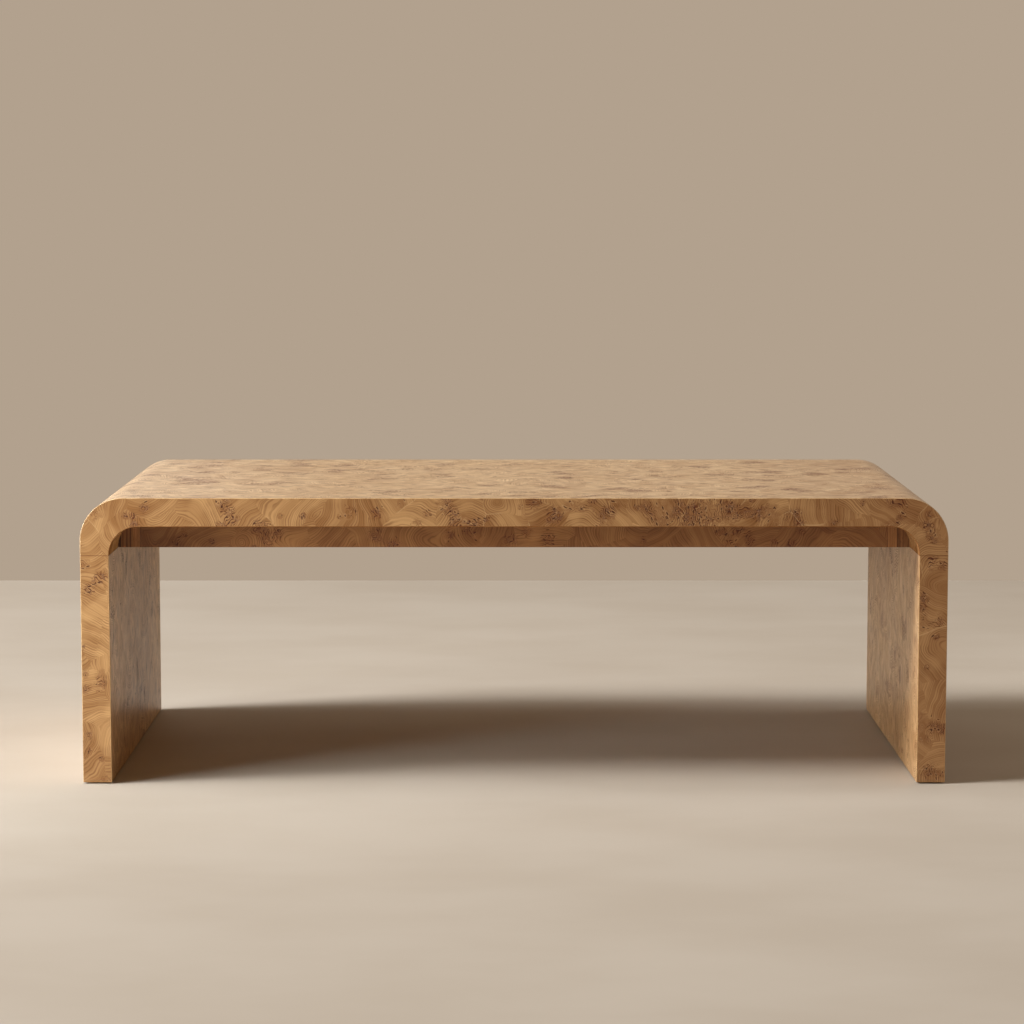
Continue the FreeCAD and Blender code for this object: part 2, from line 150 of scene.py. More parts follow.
def linear(colour: Colour) -> tuple[float, ...]:
    """Turns a screen colour of 0 to 255 into the linear colour a shader works in.

    A channel's share of 255 is divided by 12.92 if it is at most 0.04045. A larger share has 0.055 added, is
    divided by 1.055, and is raised to the power 2.4.

    Args:
        colour: Red, green and blue on the screen.

    Returns:
        Linear red, green and blue, and an alpha of one.
    """
    share = np.array(colour) / 255.0
    light = np.where(share <= 0.04045, share / 12.92, ((share + 0.055) / 1.055) ** 2.4)
    return (*light.tolist(), 1.0)


class Socket:
    """An output of a node, kept with the bench that owns the node."""

    def __init__(self, bench: Bench, socket: bpy.types.NodeSocket) -> None:
        """Keeps the bench and the output."""
        self.bench = bench
        self.socket = socket


class Value(Socket):
    """A number that can be written with in plain sums; each sum adds its Math node."""

    def __add__(self, other: Value | float) -> Value:
        """Sum."""
        return self.bench.maths("ADD", self, other)

    def __sub__(self, other: Value | float) -> Value:
        """Difference."""
        return self.bench.maths("SUBTRACT", self, other)

    def __rsub__(self, other: float) -> Value:
        """Difference from a plain number."""
        return self.bench.maths("SUBTRACT", other, self)

    def __mul__(self, other: Value | float) -> Value:
        """Product."""
        return self.bench.maths("MULTIPLY", self, other)

    def __truediv__(self, other: Value | float) -> Value:
        """Quotient."""
        return self.bench.maths("DIVIDE", self, other)

    def __abs__(self) -> Value:
        """Size without its sign."""
        return self.bench.maths("ABSOLUTE", self)

    __radd__ = __add__
    __rmul__ = __mul__

    def step(self, low: float | Value, high: float | Value) -> Value:
        """Smooth step: nought at low, one at high and level beyond them; low may be the larger."""
        values = {"Value": self, "From Min": low, "From Max": high}
        return self.bench.value("ShaderNodeMapRange", {"interpolation_type": "SMOOTHSTEP"}, values)

    def bell(self, width: float) -> Value:
        """Bell curve of this number: e to the minus square of it over the width."""
        scaled = self / width
        return self.bench.maths("EXPONENT", (scaled * scaled) * -1.0)

    def bands(self, spacing: float, detail: float = 1.0) -> Value:
        """Noise along this number, whose bands follow the level lines of the number."""
        values = {"W": self, "Scale": 1.0 / spacing, "Detail": detail}
        return self.bench.value("ShaderNodeTexNoise", {"noise_dimensions": "1D"}, values)


class Vector(Socket):
    """A vector or a colour that can be written with in plain sums."""

    def __add__(self, other: Vector | Point) -> Vector:
        """Sum."""
        return self.bench.vector_maths("ADD", self, other)

    def __sub__(self, other: Vector | Point) -> Vector:
        """Difference."""
        return self.bench.vector_maths("SUBTRACT", self, other)

    def __mul__(self, other: float | Value | Point) -> Vector:
        """This vector times one number, or times three axis by axis."""
        operation, key = ("MULTIPLY", 1) if isinstance(other, tuple) else ("SCALE", "Scale")
        return self.bench.vector("ShaderNodeVectorMath", {"operation": operation}, {0: self, key: other})

    def centred(self, reach: float) -> Vector:
        """Chance of nought to one on each axis, laid flat about nought with this reach."""
        return (self - (0.5, 0.5, 0.5)) * (2.0 * reach, 2.0 * reach, 0.0)

    def noise(self, grain: float, detail: float = 2.0, span: str = "3D") -> Value:
        """Soft noise of nought to one at this place, its grain in millimetres."""
        values = {"Vector": self, "Scale": 1.0 / grain, "Detail": detail}
        return self.bench.value("ShaderNodeTexNoise", {"noise_dimensions": span}, values)

    def leaf_noise(self, grain: float, detail: float = 2.0) -> Value:
        """Soft noise of nought to one at this place on a leaf, its grain in millimetres."""
        return self.noise(grain, detail, "2D")

    def drift(self, grain: float, reach: float, detail: float = 1.0) -> Vector:
        """Flat vector noise about nought at this place, its grain and its reach in millimetres."""
        values = {"Vector": self, "Scale": 1.0 / grain, "Detail": detail}
        return self.bench.vector("ShaderNodeTexNoise", FLAT_NOISE, values, "Color").centred(reach)

    def parts(self) -> list[Value]:
        """The three numbers of the vector."""
        node = self.bench.node("ShaderNodeSeparateXYZ", {}, {"Vector": self})
        return [Value(self.bench, output) for output in node.outputs]

    def length(self) -> Value:
        """Length of the vector."""
        return self.bench.value("ShaderNodeVectorMath", {"operation": "LENGTH"}, {0: self}, "Value")


class Bench:
    """A material or world under construction: its node tree, and the calls that add nodes to it."""

    def __init__(self, holder: bpy.types.Material | bpy.types.World) -> None:
        """Empties the node tree.

        Args:
            holder: The material or world.
        """
        holder.use_nodes = True
        self.holder = holder
        self.tree = holder.node_tree
        self.tree.nodes.clear()

    def node(self, kind: str, settings: dict, values: dict) -> bpy.types.Node:
        """Adds one node, sets its settings first, then its sockets.

        Args:
            kind: Type of the node.
            settings: Settings of the node by name.
            values: Plain values, or outputs to link, by the name or number of the input.

        Returns:
            The new node.
        """
        node = self.tree.nodes.new(kind)
        for key, setting in settings.items():
            setattr(node, key, setting)
        for key, value in values.items():
            if isinstance(value, Socket):
                self.tree.links.new(value.socket, node.inputs[key])
            else:
                node.inputs[key].default_value = value
        return node

    def add(self, kind: str, settings: dict, values: dict, output: str | int = 0) -> Socket:
        """Adds one node and gives back one of its outputs."""
        return Socket(self, self.node(kind, settings, values).outputs[output])

    def value(self, kind: str, settings: dict, values: dict, output: str | int = 0) -> Value:
        """Adds one node and gives back one of its outputs as a number to write with."""
        return Value(self, self.node(kind, settings, values).outputs[output])

    def vector(self, kind: str, settings: dict, values: dict, output: str | int = 0) -> Vector:
        """Adds one node and gives back one of its outputs as a vector to write with."""
        return Vector(self, self.node(kind, settings, values).outputs[output])

    def maths(self, operation: str, *values: Value | float) -> Value:
        """Adds a Math node on one or two numbers."""
        return self.value("ShaderNodeMath", {"operation": operation}, dict(enumerate(values)))

    def greatest(self, *values: Value) -> Value:
        """The greatest of several numbers."""
        return reduce(partial(self.maths, "MAXIMUM"), values)

    def vector_maths(self, operation: str, *values: Vector | Point) -> Vector:
        """Adds a Vector Math node on two vectors."""
        return self.vector("ShaderNodeVectorMath", {"operation": operation}, dict(enumerate(values)))

    def leaf_place(self) -> Vector:
        """Place on a veneer leaf in millimetres, from the leaf's own map in metres."""
        return self.vector("ShaderNodeUVMap", {"uv_map": LEAF_MAP}, {}) * (1.0 / MILLI)

    def table_place(self) -> Vector:
        """Place on the table in millimetres."""
        return self.vector("ShaderNodeTexCoord", {}, {}, "Object") * (1.0 / MILLI)

    def attribute(self, name: str) -> Value:
        """A number kept on each point of the mesh."""
        settings = {"attribute_type": "GEOMETRY", "attribute_name": name}
        return self.value("ShaderNodeAttribute", settings, {}, "Fac")

    def mix(self, share: Value, first: Vector | Colour, second: Colour) -> Vector:
        """Mixes two colours, by the share of the second.

        Args:
            share: The share, nought to one.
            first: A colour worked out before, or a plain one as on a screen.
            second: A plain colour.

        Returns:
            The mixed colour.
        """
        first = linear(first) if isinstance(first, tuple) else first
        values = {MIX_SHARE: share, MIX_FIRST: first, MIX_SECOND: linear(second)}
        return self.vector("ShaderNodeMix", COLOUR_MIX, values, MIX_RESULT)

    def finish(self, colour: Vector, rough: Value, relief: Value | None = None, depth: float = 0.0,
               even: dict[str, float] | None = None) -> bpy.types.Material:
        """Closes the material with its shader.

        Args:
            colour: Colour of the surface.
            rough: Roughness of the surface.
            relief: Height of the fine relief, nought to one, or None for none.
            depth: Depth of the relief in millimetres.
            even: Inputs of the shader that are the same all over, by name.

        Returns:
            The finished material.
        """
        values = {"Base Color": colour, "Roughness": rough, **(even or {})}
        if relief is not None:
            bump = {"Strength": 1.0, "Distance": depth * MILLI, "Height": relief}
            values["Normal"] = self.add("ShaderNodeBump", {}, bump)
        shader = self.add("ShaderNodeBsdfPrincipled", {}, values)
        self.node("ShaderNodeOutputMaterial", {}, {"Surface": shader})
        return self.holder


class Cells:
    """A flat pattern of cells over a place."""

    def __init__(self, place: Vector, size: float, feature: Feature = Feature.MIDDLE) -> None:
        """Adds the pattern.

        Args:
            place: Place in millimetres.
            size: Size of a cell in millimetres.
            feature: What the distance is measured to.
        """
        self.place = place
        self.size = size
        settings = {"voronoi_dimensions": "2D", "feature": feature.value}
        values = {"Vector": place, "Scale": 1.0 / size}
        self.node = place.bench.node("ShaderNodeTexVoronoi", settings, values)

    def distance(self) -> Value:
        """Distance to the feature in millimetres."""
        return Value(self.place.bench, self.node.outputs["Distance"]) * self.size

    def chance(self) -> Vector:
        """Three numbers of chance, nought to one, the same all over a cell."""
        return Vector(self.place.bench, self.node.outputs["Color"])

    def middle(self) -> Vector:
        """Middle of the cell."""
        return Vector(self.place.bench, self.node.outputs["Position"])

    def ray(self) -> Vector:
        """The way from the middle of the cell in millimetres."""
        return (self.place - self.middle()) * FLAT


# ---- Finishes -------------------------------------------------------------------------------
#
# Colours are as on a screen, and lengths are in millimetres. A pair is the grain and reach of a drift, or
# the two ends of a smooth step. Other numbers are shares of nought to one.


@dataclass(frozen=True)
class PipSize:
    """One size of pip: its cell, its reach across and along the lines, and the share of cells with one."""

    cell: float
    short: float
    long: float
    share: float


@dataclass(frozen=True)
class BurlVeneer:
    """Oak burl under a satin lacquer: growth lines that swirl in patches, and burr clusters full of pips."""

    name: str = "burl_veneer"
    pale: Colour = (206, 163, 112)
    honey: Colour = (142, 95, 51)
    line: Colour = (112, 66, 31)
    # Russet tint round the burr clusters, and the colour of the painted shade at the right end.
    burr_russet_and_painted_shade: Colour = (124, 72, 36)
    ember: Colour = (98, 43, 18)
    pip: Colour = (70, 27, 11)
    crack: Colour = (222, 186, 138)
    edge: Colour = (222, 186, 138)
    cloud_size: float = 80.0
    clouding: float = 0.30
    patch_size: float = 66.0
    patching: float = 0.36
    band_spacing: float = 15.0
    banding: float = 0.34
    swirls: tuple[Pair, ...] = ((150.0, 34.0), (40.0, 7.0))
    fan_reach: float = 80.0
    fan_starts: float = 60.0
    waver_size: float = 13.0
    waver: float = 1.8
    burr_waver: float = 12.0
    line_spacing: float = 3.1
    fine_spacing: float = 1.1
    line_fading: float = 40.0
    line_weight: float = 0.55
    streak_size: float = 9.0
    streaks: float = 0.0
    # Painted shade: towards the right end the colour is mixed to the shade colour, as if less light fell
    # there.
    right_end: Pair = (250.0, 620.0)
    painted_right_shade: float = 0.25
    crack_width: Pair = (1.0, 0.3)
    crack_length: float = 60.0
    crack_weight: float = 0.36
    halo_weight: float = 0.34
    pip_weight: float = 0.90
    # Share of the edge colour on the arrises: a pale one is partly wear and partly a painted highlight along
    # the eased edge.
    arris_tint: float = 0.35
    ragged_size: float = 8.0
    lone_spacing: float = 58.0
    lone_drift: Pair = (11.0, 3.0)
    lone_radius: Pair = (6.5, 2.0)
    eye_size: float = 12.0
    eye_drift: Pair = (6.0, 2.0)
    eye_reach: float = 5.2
    pip_drift: Pair = (3.0, 0.9)
    bold_pip: PipSize = PipSize(7.4, 1.12, 3.2, 0.50)
    small_pip: PipSize = PipSize(4.3, 0.65, 1.0, 0.26)
    dash_length: float = 5.0
    joint_height: float = 320.0
    joint_width: Pair = (0.75, 0.25)
    smear_size: float = 60.0
    gloss: float = 0.36
    lacquer: float = 0.12
    depth: float = 0.12

    def material(self) -> bpy.types.Material:
        """Builds the shader, in which colour, roughness and relief all follow one height.

        The level lines of the height are the growth lines. In each patch of the swirled leaf it is the
        distance to a heart off the patch's middle, with a new start for each patch. Round an eye it is the
        distance to the eye.

        Returns:
            The material.
        """
        bench = Bench(bpy.data.materials.new(self.name))
        place = bench.leaf_place()
        burl = self.burr(place)
        cluster = burl.step(0.08, 0.75)
        arris_strip = bench.attribute(ARRIS_STRIP)
        joint = self.joint(bench)
        swirl = place
        for grain, reach in self.swirls:
            swirl = swirl + place.drift(grain, reach)
        patch = Cells(swirl, self.patch_size)
        first, second, third = patch.chance().parts()
        spread = (swirl - (patch.middle() + patch.chance().centred(self.fan_reach))) * FLAT
        eye_ray, eye_here = self.eyes(place, burl)
        waver = place.leaf_noise(self.waver_size, 1.0) - 0.5
        fan = spread.length() + waver * (cluster * self.burr_waver + self.waver)
        height = fan * (1.0 - eye_here) + eye_ray.length() * eye_here * 1.3 + third * self.fan_starts
        # Growth lines, strong in some places and faint in others, and finer ones between them.
        strength = place.leaf_noise(self.line_fading).step(0.34, 0.60)
        line = self.growth_lines(height) * (strength * 0.78 + 0.20)
        fine = height.bands(self.fine_spacing)
        # The ground: clouds, tones that differ from patch to patch, bands along the lines, and streaks.
        bands = height.bands(self.band_spacing).step(0.42, 0.58)
        cloud = place.leaf_noise(self.cloud_size).step(0.42, 0.58)
        tone = cloud * self.clouding + second * self.patching + bands * self.banding
        colour = bench.mix(tone * 0.85 + fine * 0.15, self.pale, self.honey)
        colour = bench.mix(cluster * (0.10 + first * 0.30), colour, self.burr_russet_and_painted_shade)
        if self.streaks > 0.0:
            streak = (swirl * (0.40, 1.0, 1.0)).leaf_noise(self.streak_size, 3.0).step(0.52, 0.67)
            colour = bench.mix(streak * self.streaks, colour, self.line)
        # Painted shade: the right end of every leaf darkens, as if the light fell off towards it.
        right = bench.table_place().parts()[0].step(*self.right_end)
        colour = bench.mix(right * self.painted_right_shade, colour, self.burr_russet_and_painted_shade)
        # The lines on it, darker through the knots.
        knotty = bench.greatest(cluster * 0.85, eye_here * 0.95)
        colour = bench.mix(line * self.line_weight, colour, self.line)
        colour = bench.mix(line * knotty, colour, self.ember)
        colour = bench.mix(fine.step(0.55, 0.80) * 0.35, colour, self.line)
        # Pale cracks along some borders of the patches.
        border = Cells(swirl, self.patch_size, Feature.BORDER).distance()
        crack = border.step(*self.crack_width) * place.leaf_noise(self.crack_length, 0.0).step(0.62, 0.70)
        colour = bench.mix(crack * self.crack_weight, colour, self.crack)
        # Pips and short dashes.
        ray = spread * (1.0 - eye_here) + eye_ray * eye_here
        bold, halo = self.pips(place, ray, burl, self.bold_pip)
        small, _ = self.pips(place, ray, burl, self.small_pip)
        dash = line.step(0.25, 0.60) * place.leaf_noise(self.dash_length, 1.0).step(0.46, 0.54)
        pips = bench.greatest(bold, small, dash * cluster * 0.90)
        colour = bench.mix(halo * self.halo_weight, colour, self.crack)
        colour = bench.mix(pips * self.pip_weight, colour, self.pip)
        # Tinted arrises, pale ones partly wear and partly a painted highlight where the eased edge catches
        # the light; and the hairline of the joint.
        colour = bench.mix(arris_strip * self.arris_tint, colour, self.edge)
        colour = bench.mix(joint * 0.5, colour, self.ember)
        smear = (place.leaf_noise(self.smear_size, 3.0) - 0.5) * 0.12
        rough = 0.33 + line * 0.06 + pips * 0.12 + smear - arris_strip * 0.06
        relief = 0.5 - line * 0.22 - fine * 0.10 - pips * 0.5 - joint * 0.4
        even = {"Specular IOR Level": self.gloss, "Coat Weight": self.lacquer, "Coat Roughness": 0.16}
        return bench.finish(colour, rough, relief, self.depth, even)

    def burr(self, place: Vector) -> Value:
        """Share of burr: the clusters kept on the mesh with ragged borders, and lone small eyes between.

        Args:
            place: Place on the leaf in millimetres.

        Returns:
            The share of burr, nought to one.
        """
        kept = place.bench.attribute(BURR)
        ragged = kept + (place.leaf_noise(self.ragged_size) - 0.5) * kept.step(0.0, 0.35) * 1.1
        cells = Cells(place + place.drift(*self.lone_drift), self.lone_spacing)
        lone = cells.distance().step(*self.lone_radius) * cells.chance().parts()[1].step(0.62, 0.60)
        return place.bench.greatest(ragged, lone * 0.8)

    def growth_lines(self, height: Value) -> Value:
        """Dark growth lines: the crests of a sine of the height, whose phase wanders to vary the spacing.

        Args:
            height: The height whose level lines they are, in millimetres.

        Returns:
            The lines, nought to one.
        """
        wander = height.bands(12.0, 2.0) * 14.0
        wave = height.bench.maths("SINE", height * (FULL / self.line_spacing) + wander)
        width = height.bands(6.0, 0.0) * 0.5 + 0.2
        return (wave * 0.5 + 0.5).step(width, 1.0)

    def eyes(self, place: Vector, burl: Value) -> tuple[Vector, Value]:
        """Ring eyes in the clusters.

        Args:
            place: Place on the leaf in millimetres.
            burl: Share of burr there.

        Returns:
            The way from the nearest eye in millimetres, and how much that eye rules the growth lines there.
        """
        cells = Cells(place + place.drift(*self.eye_drift, 2.0), self.eye_size)
        ray = cells.ray()
        chosen = (burl * 1.1 - cells.chance().parts()[0]).step(0.0, 0.05)
        return ray, ray.length().step(self.eye_reach, self.eye_reach * 0.55) * chosen

    def pips(self, place: Vector, ray: Vector, burl: Value, size: PipSize) -> tuple[Value, Value]:
        """Pips bent along the growth lines, and the pale halo round each.

        The distance across the lines from a pip's middle is the length of the ray less its length at that
        middle, and what is left of the whole distance lies along the lines. The pip ends where the squares
        of the two, each over its reach, add up to one.

        Args:
            place: Place on the leaf in millimetres.
            ray: The way from the heart of the growth lines there.
            burl: Share of burr there.
            size: Size of the pips.

        Returns:
            The pips and their halos, each nought to one.
        """
        bench = place.bench
        cells = Cells(place + place.drift(*self.pip_drift, 2.0), size.cell)
        chance, girth, _ = cells.chance().parts()
        away = cells.ray()
        across = ray.length() - (ray - away).length()
        whole = away.length()
        along = bench.maths("MAXIMUM", whole * whole - across * across, 0.0)
        oval = across * across / (size.short * size.short) + along / (size.long * size.long)
        reach = bench.maths("SQRT", oval) / (girth * 0.65 + 0.55)
        here = (burl * size.share - chance).step(0.0, 0.04)
        return reach.step(1.0, 0.6) * here, (reach - 1.35).bell(0.28) * here

    def joint(self, bench: Bench) -> Value:
        """The hairline of the joint between each leg and the arch, level with the end of the cove."""
        up = bench.table_place().parts()[2]
        return abs(up - self.joint_height).step(*self.joint_width)


@dataclass(frozen=True)
class StraightOak:
    """Straight-grained oak, its grain upright; the seams are distances from the middle."""

    name: str
    pale: Colour
    dark: Colour
    stripe: Colour
    contrast: float
    sway: Pair = (30.0, 1.2)
    grain_width: float = 2.6
    stripe_width: float = 6.0
    pore_width: float = 0.7
    seams: tuple[float, ...] = (528.0, 542.0)
    seam_width: Pair = (1.1, 0.3)
    depth: float = 0.12

    def material(self) -> bpy.types.Material:
        """Builds the shader: noise drawn out along z gives the grain, its bold stripes and its pores.

        Returns:
            The material.
        """
        bench = Bench(bpy.data.materials.new(self.name))
        place = bench.table_place()
        bent = place + place.drift(*self.sway)
        grain = (bent * (1.0, 1.0, 0.03)).noise(self.grain_width)
        bold = (bent * (1.0, 1.0, 0.02)).noise(self.stripe_width, 1.0)
        pore = (bent * (1.0, 1.0, 0.09)).noise(self.pore_width, 1.0)
        pit = pore.step(0.60, 0.72)
        colour = bench.mix(grain.step(0.35, 0.68), self.pale, self.dark)
        colour = bench.mix(bold.step(0.52, 0.62) * self.contrast, colour, self.stripe)
        colour = bench.mix(pit * 0.5, colour, self.stripe)
        across = abs(place.parts()[0])
        for seam in self.seams:
            colour = bench.mix(abs(across - seam).step(*self.seam_width) * 0.85, colour, self.stripe)
        rough = 0.42 + pore.step(0.55, 0.75) * 0.15
        return bench.finish(colour, rough, 0.5 - grain * 0.2 - pit * 0.4, self.depth)


@dataclass(frozen=True)
class Fibreboard:
    """Pressed wood fibre with flecks of bark."""

    name: str = "fibreboard"
    pale: Colour = (178, 147, 110)
    dark: Colour = (133, 101, 68)
    fleck: Colour = (96, 70, 46)
    fibre_width: float = 1.4
    clump_size: float = 9.0
    fleck_size: float = 2.2
    depth: float = 0.2

    def material(self) -> bpy.types.Material:
        """Builds the shader: fibres from noise drawn out along y, clumps, and flecks.

        Returns:
            The material.
        """
        bench = Bench(bpy.data.materials.new(self.name))
        place = bench.table_place()
        felt = (place * (1.0, 0.35, 1.0)).noise(self.fibre_width, 4.0)
        clump = place.noise(self.clump_size, 3.0)
        fleck = (place * (1.0, 0.5, 1.0)).noise(self.fleck_size, 1.0).step(0.66, 0.72)
        colour = bench.mix(felt * 0.7 + clump * 0.3, self.pale, self.dark)
        colour = bench.mix(fleck * 0.7, colour, self.fleck)
        return bench.finish(colour, 0.78 + clump * 0.1, felt, self.depth)


@dataclass(frozen=True)
class Softwood:
    """Planed wood with plain rings; its place is scaled along each axis, least along the grain."""

    name: str
    pale: Colour
    ring: Colour
    scale: Point
    ring_width: float = 4.5
    sway: Pair = (40.0, 6.0)
    slant: Point = (0.8, 0.9, 0.55)
    fibre_width: float = 0.8
    blush_size: float = 22.0
    depth: float = 0.15

    def material(self) -> bpy.types.Material:
        """Builds the shader: rings are the level lines of a slanted height, drawn out along the grain.

        Returns:
            The material.
        """
        bench = Bench(bpy.data.materials.new(self.name))
        place = bench.table_place() * self.scale
        across, deep, up = (place + place.drift(*self.sway)).parts()
        first, second, third = self.slant
        rings = (across * first + deep * second + up * third).bands(self.ring_width, 0.5)
        fibre = place.noise(self.fibre_width)
        blush = place.noise(self.blush_size)
        colour = bench.mix(rings.step(0.42, 0.66) * 0.7, self.pale, self.ring)
        colour = bench.mix(fibre.step(0.5, 0.8) * 0.35 + blush * 0.2, colour, self.ring)
        return bench.finish(colour, 0.55 + fibre * 0.12, rings * 0.4 + fibre * 0.4, self.depth)


@dataclass(frozen=True)
class ZincSteel:
    """Zinc-plated steel with a faint yellow passivation and rub marks."""

    name: str = "zinc_steel"
    pale: Colour = (196, 194, 184)
    tarnish: Colour = (168, 158, 128)
    rub_width: float = 0.9
    cloud_size: float = 5.0
    depth: float = 0.04

    def material(self) -> bpy.types.Material:
        """Builds the shader: metal whose tint and roughness wander.

        Returns:
            The material.
        """
        bench = Bench(bpy.data.materials.new(self.name))
        place = bench.table_place()
        rub = (place * (1.0, 1.0, 4.0)).noise(self.rub_width)
        colour = bench.mix(place.noise(self.cloud_size, 3.0).step(0.4, 0.7), self.pale, self.tarnish)
        return bench.finish(colour, 0.26 + rub * 0.16, rub, self.depth, {"Metallic": 1.0})


@dataclass(frozen=True)
class Nylon:
    """Dark moulded nylon with a fine matt skin, scuffed underneath."""

    name: str = "nylon"
    pale: Colour = (74, 66, 58)
    dark: Colour = (48, 42, 37)
    skin_size: float = 0.5
    scuff_width: float = 1.6
    scuff_height: Pair = (0.8, 0.1)
    depth: float = 0.05

    def material(self) -> bpy.types.Material:
        """Builds the shader: a fine skin, and pale scuffs within a millimetre of the floor.

        Returns:
            The material.
        """
        bench = Bench(bpy.data.materials.new(self.name))
        place = bench.table_place()
        skin = place.noise(self.skin_size, 1.0)
        scuff = (place * (0.3, 1.0, 1.0)).noise(self.scuff_width).step(0.56, 0.68)
        colour = bench.mix(scuff * place.parts()[2].step(*self.scuff_height), self.dark, self.pale)
        return bench.finish(colour, 0.50 + skin * 0.12, skin, self.depth)


@dataclass(frozen=True)
class PaleFloor:
    """Smooth pale floor with a soft sheen and a faint cloudiness."""

    name: str = "pale_floor"
    pale: Colour = (199, 191, 180)
    warm: Colour = (193, 184, 172)
    cloud_size: float = 420.0

    def material(self) -> bpy.types.Material:
        """Builds the shader: two close tones mixed by wide noise.

        Returns:
            The material.
        """
        bench = Bench(bpy.data.materials.new(self.name))
        cloud = (bench.table_place() * (1.0, 1.6, 1.0)).noise(self.cloud_size, 4.0)
        colour = bench.mix(cloud.step(0.30, 0.70), self.pale, self.warm)
        return bench.finish(colour, 0.66 + cloud * 0.06, even={"Specular IOR Level": 0.06})


BAND_BURL = BurlVeneer()
# The top's leaf is a paler, greyer copy of the band's veneer: painted sheen and light where light falls on
# the top.
TOP_BURL_PAINTED_SHEEN = BurlVeneer(
    "burl_veneer_top_painted_sheen", pale=(231, 201, 158), honey=(170, 130, 88), cloud_size=30.0, clouding=0.18,
    patching=0.30, streaks=0.44,
)
# The inner leg faces take a paler copy of the veneer: painted light on faces that stand in shade.
INNER_BURL_PAINTED_LIGHT = BurlVeneer(
    "burl_veneer_leg_painted_light", pale=(236, 199, 148), honey=(172, 125, 80), cloud_size=30.0, clouding=0.18,
    patching=0.26, streaks=0.38, arris_tint=0.50, edge=(216, 180, 134), gloss=0.10, lacquer=0.02,
)
OUTER_BURL = BurlVeneer("burl_veneer_outer", pale=(205, 172, 129), honey=(148, 107, 69))
# Under the top the arrises are tinted darker.
UNDER_BURL = BurlVeneer(
    "burl_veneer_under", pale=(222, 178, 124), honey=(152, 103, 60), arris_tint=0.70, edge=(136, 86, 48),
    gloss=0.0, lacquer=0.0,
)
# The rails take a darker copy of the band's veneer: painted shade under the overhang of the top.
RAIL_BURL_PAINTED_SHADE = BurlVeneer(
    "burl_veneer_rail_painted_shade", pale=(176, 127, 78), honey=(124, 78, 41), line=(100, 58, 27), crack=(168, 122, 76),
)
PINE_TONES = ((222, 188, 138), (190, 140, 84))
GRAIN_ALONG_Y = (1.0, 0.05, 1.0)
GRAIN_ALONG_X = (0.05, 1.0, 1.0)

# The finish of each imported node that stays, by how the names of the nodes start.
CARCASE = (
    (Fibreboard(), ("top_board", "leg_board", "shoulder_block", "rail_core")),
    (StraightOak("oak_stave", (186, 134, 84), (158, 108, 64), (84, 50, 26), 0.30), ("rail_end_stave",)),
    (StraightOak("oak_block", (158, 110, 68), (118, 78, 46), (58, 34, 18), 0.85), ("rail_coped_block",)),
    (Softwood("beech", (208, 170, 128), (182, 136, 92), GRAIN_ALONG_Y, 3.0), ("top_tongue", "leg_tongue")),
    (Softwood("pine", *PINE_TONES, GRAIN_ALONG_Y), ("cross_rail",)),
    (Softwood("pine_block", *PINE_TONES, GRAIN_ALONG_X), ("glue_blocks",)),
)


# ---- Meshes ---------------------------------------------------------------------------------


@dataclass(frozen=True)
class Edge:
    """How one side of a leaf is eased: the radius of its arris in metres, nought for a sharp side."""

    radius: float = 0.0
    steps: int = 1

    def arc(self) -> tuple[np.ndarray, np.ndarray]:
        """Places over the arris, the radius times one less the cosine of a turn; drops, with its sine."""
        turn = np.linspace(0.0, QUARTER, self.steps)
        return self.radius * (1.0 - np.cos(turn)), self.radius * (1.0 - np.sin(turn))


def breaks(length: float, step: float, start: Edge, end: Edge) -> tuple[np.ndarray, np.ndarray]:
    """Places along one side of a leaf, and how far the face has dropped there.

    Args:
        length: Length of that side.
        step: Largest gap between the even places from arris to arris.
        start: Arris at the start.
        end: Arris at the end.

    Returns:
        The places and the drops, which are nought between the arrises.
    """
    low = start.radius
    high = length - end.radius
    middle = np.linspace(low, high, max(math.ceil((high - low) / step), 1) + 1)
    rise, rise_drop = start.arc()
    fall, fall_drop = end.arc()
    places = [rise[:-1], middle, length - fall[-2::-1]]
    drops = [rise_drop[:-1], np.zeros_like(middle), fall_drop[-2::-1]]
    return np.concatenate(places), np.concatenate(drops)


def grid_faces(rows: int, columns: int) -> np.ndarray:
    """Corner numbers of every quad of a grid: each point with its neighbours on the right and above."""
    index = np.arange(rows * columns).reshape(rows, columns)
    return np.stack([index[:-1, :-1], index[1:, :-1], index[1:, 1:], index[:-1, 1:]], -1).reshape(-1, 4)


def rim(rows: int, columns: int) -> np.ndarray:
    """Numbers of the points round the border of a grid, in order, each once."""
    index = np.arange(rows * columns).reshape(rows, columns)
    return np.concatenate([index[:-1, 0], index[-1, :-1], index[:0:-1, -1], index[0, :0:-1]])


def outward(points: np.ndarray, faces: np.ndarray) -> np.ndarray:
    """Turns every face over if the mesh is inside out, which shows as a volume below nought.

    The volume adds up, over the two triangles of each quad, the product of the first corner with the cross
    product of the other two.

    Args:
        points: Points of a closed mesh.
        faces: Its quads.

    Returns:
        The quads, facing out.
    """
    corner = points[faces]
    first, second = (np.cross(corner[:, side], corner[:, side + 1]) for side in (1, 2))
    volume = (corner[:, 0] * (first + second)).sum()
    return faces[:, ::-1] if volume < 0.0 else faces


def make_mesh(name: str, points: np.ndarray, faces: np.ndarray) -> bpy.types.Object:
    """Puts whole arrays of points and quads into a new object at the origin.

    Args:
        name: Name of the piece.
        points: Points, one row each.
        faces: Quads, four point numbers a row; a triangle repeats its last number.

    Returns:
        The object, smooth except at sharp edges.
    """
    mesh = bpy.data.meshes.new(name)
    turned_out = [tuple(dict.fromkeys(face)) for face in outward(points, faces).tolist()]
    mesh.from_pydata(points.tolist(), [], turned_out)
    mesh.update()
    mesh.shade_smooth()
    mesh.set_sharp_from_angle(angle=SHARP_ANGLE)
    piece = bpy.data.objects.new(name, mesh)
    bpy.context.scene.collection.objects.link(piece)
    return piece


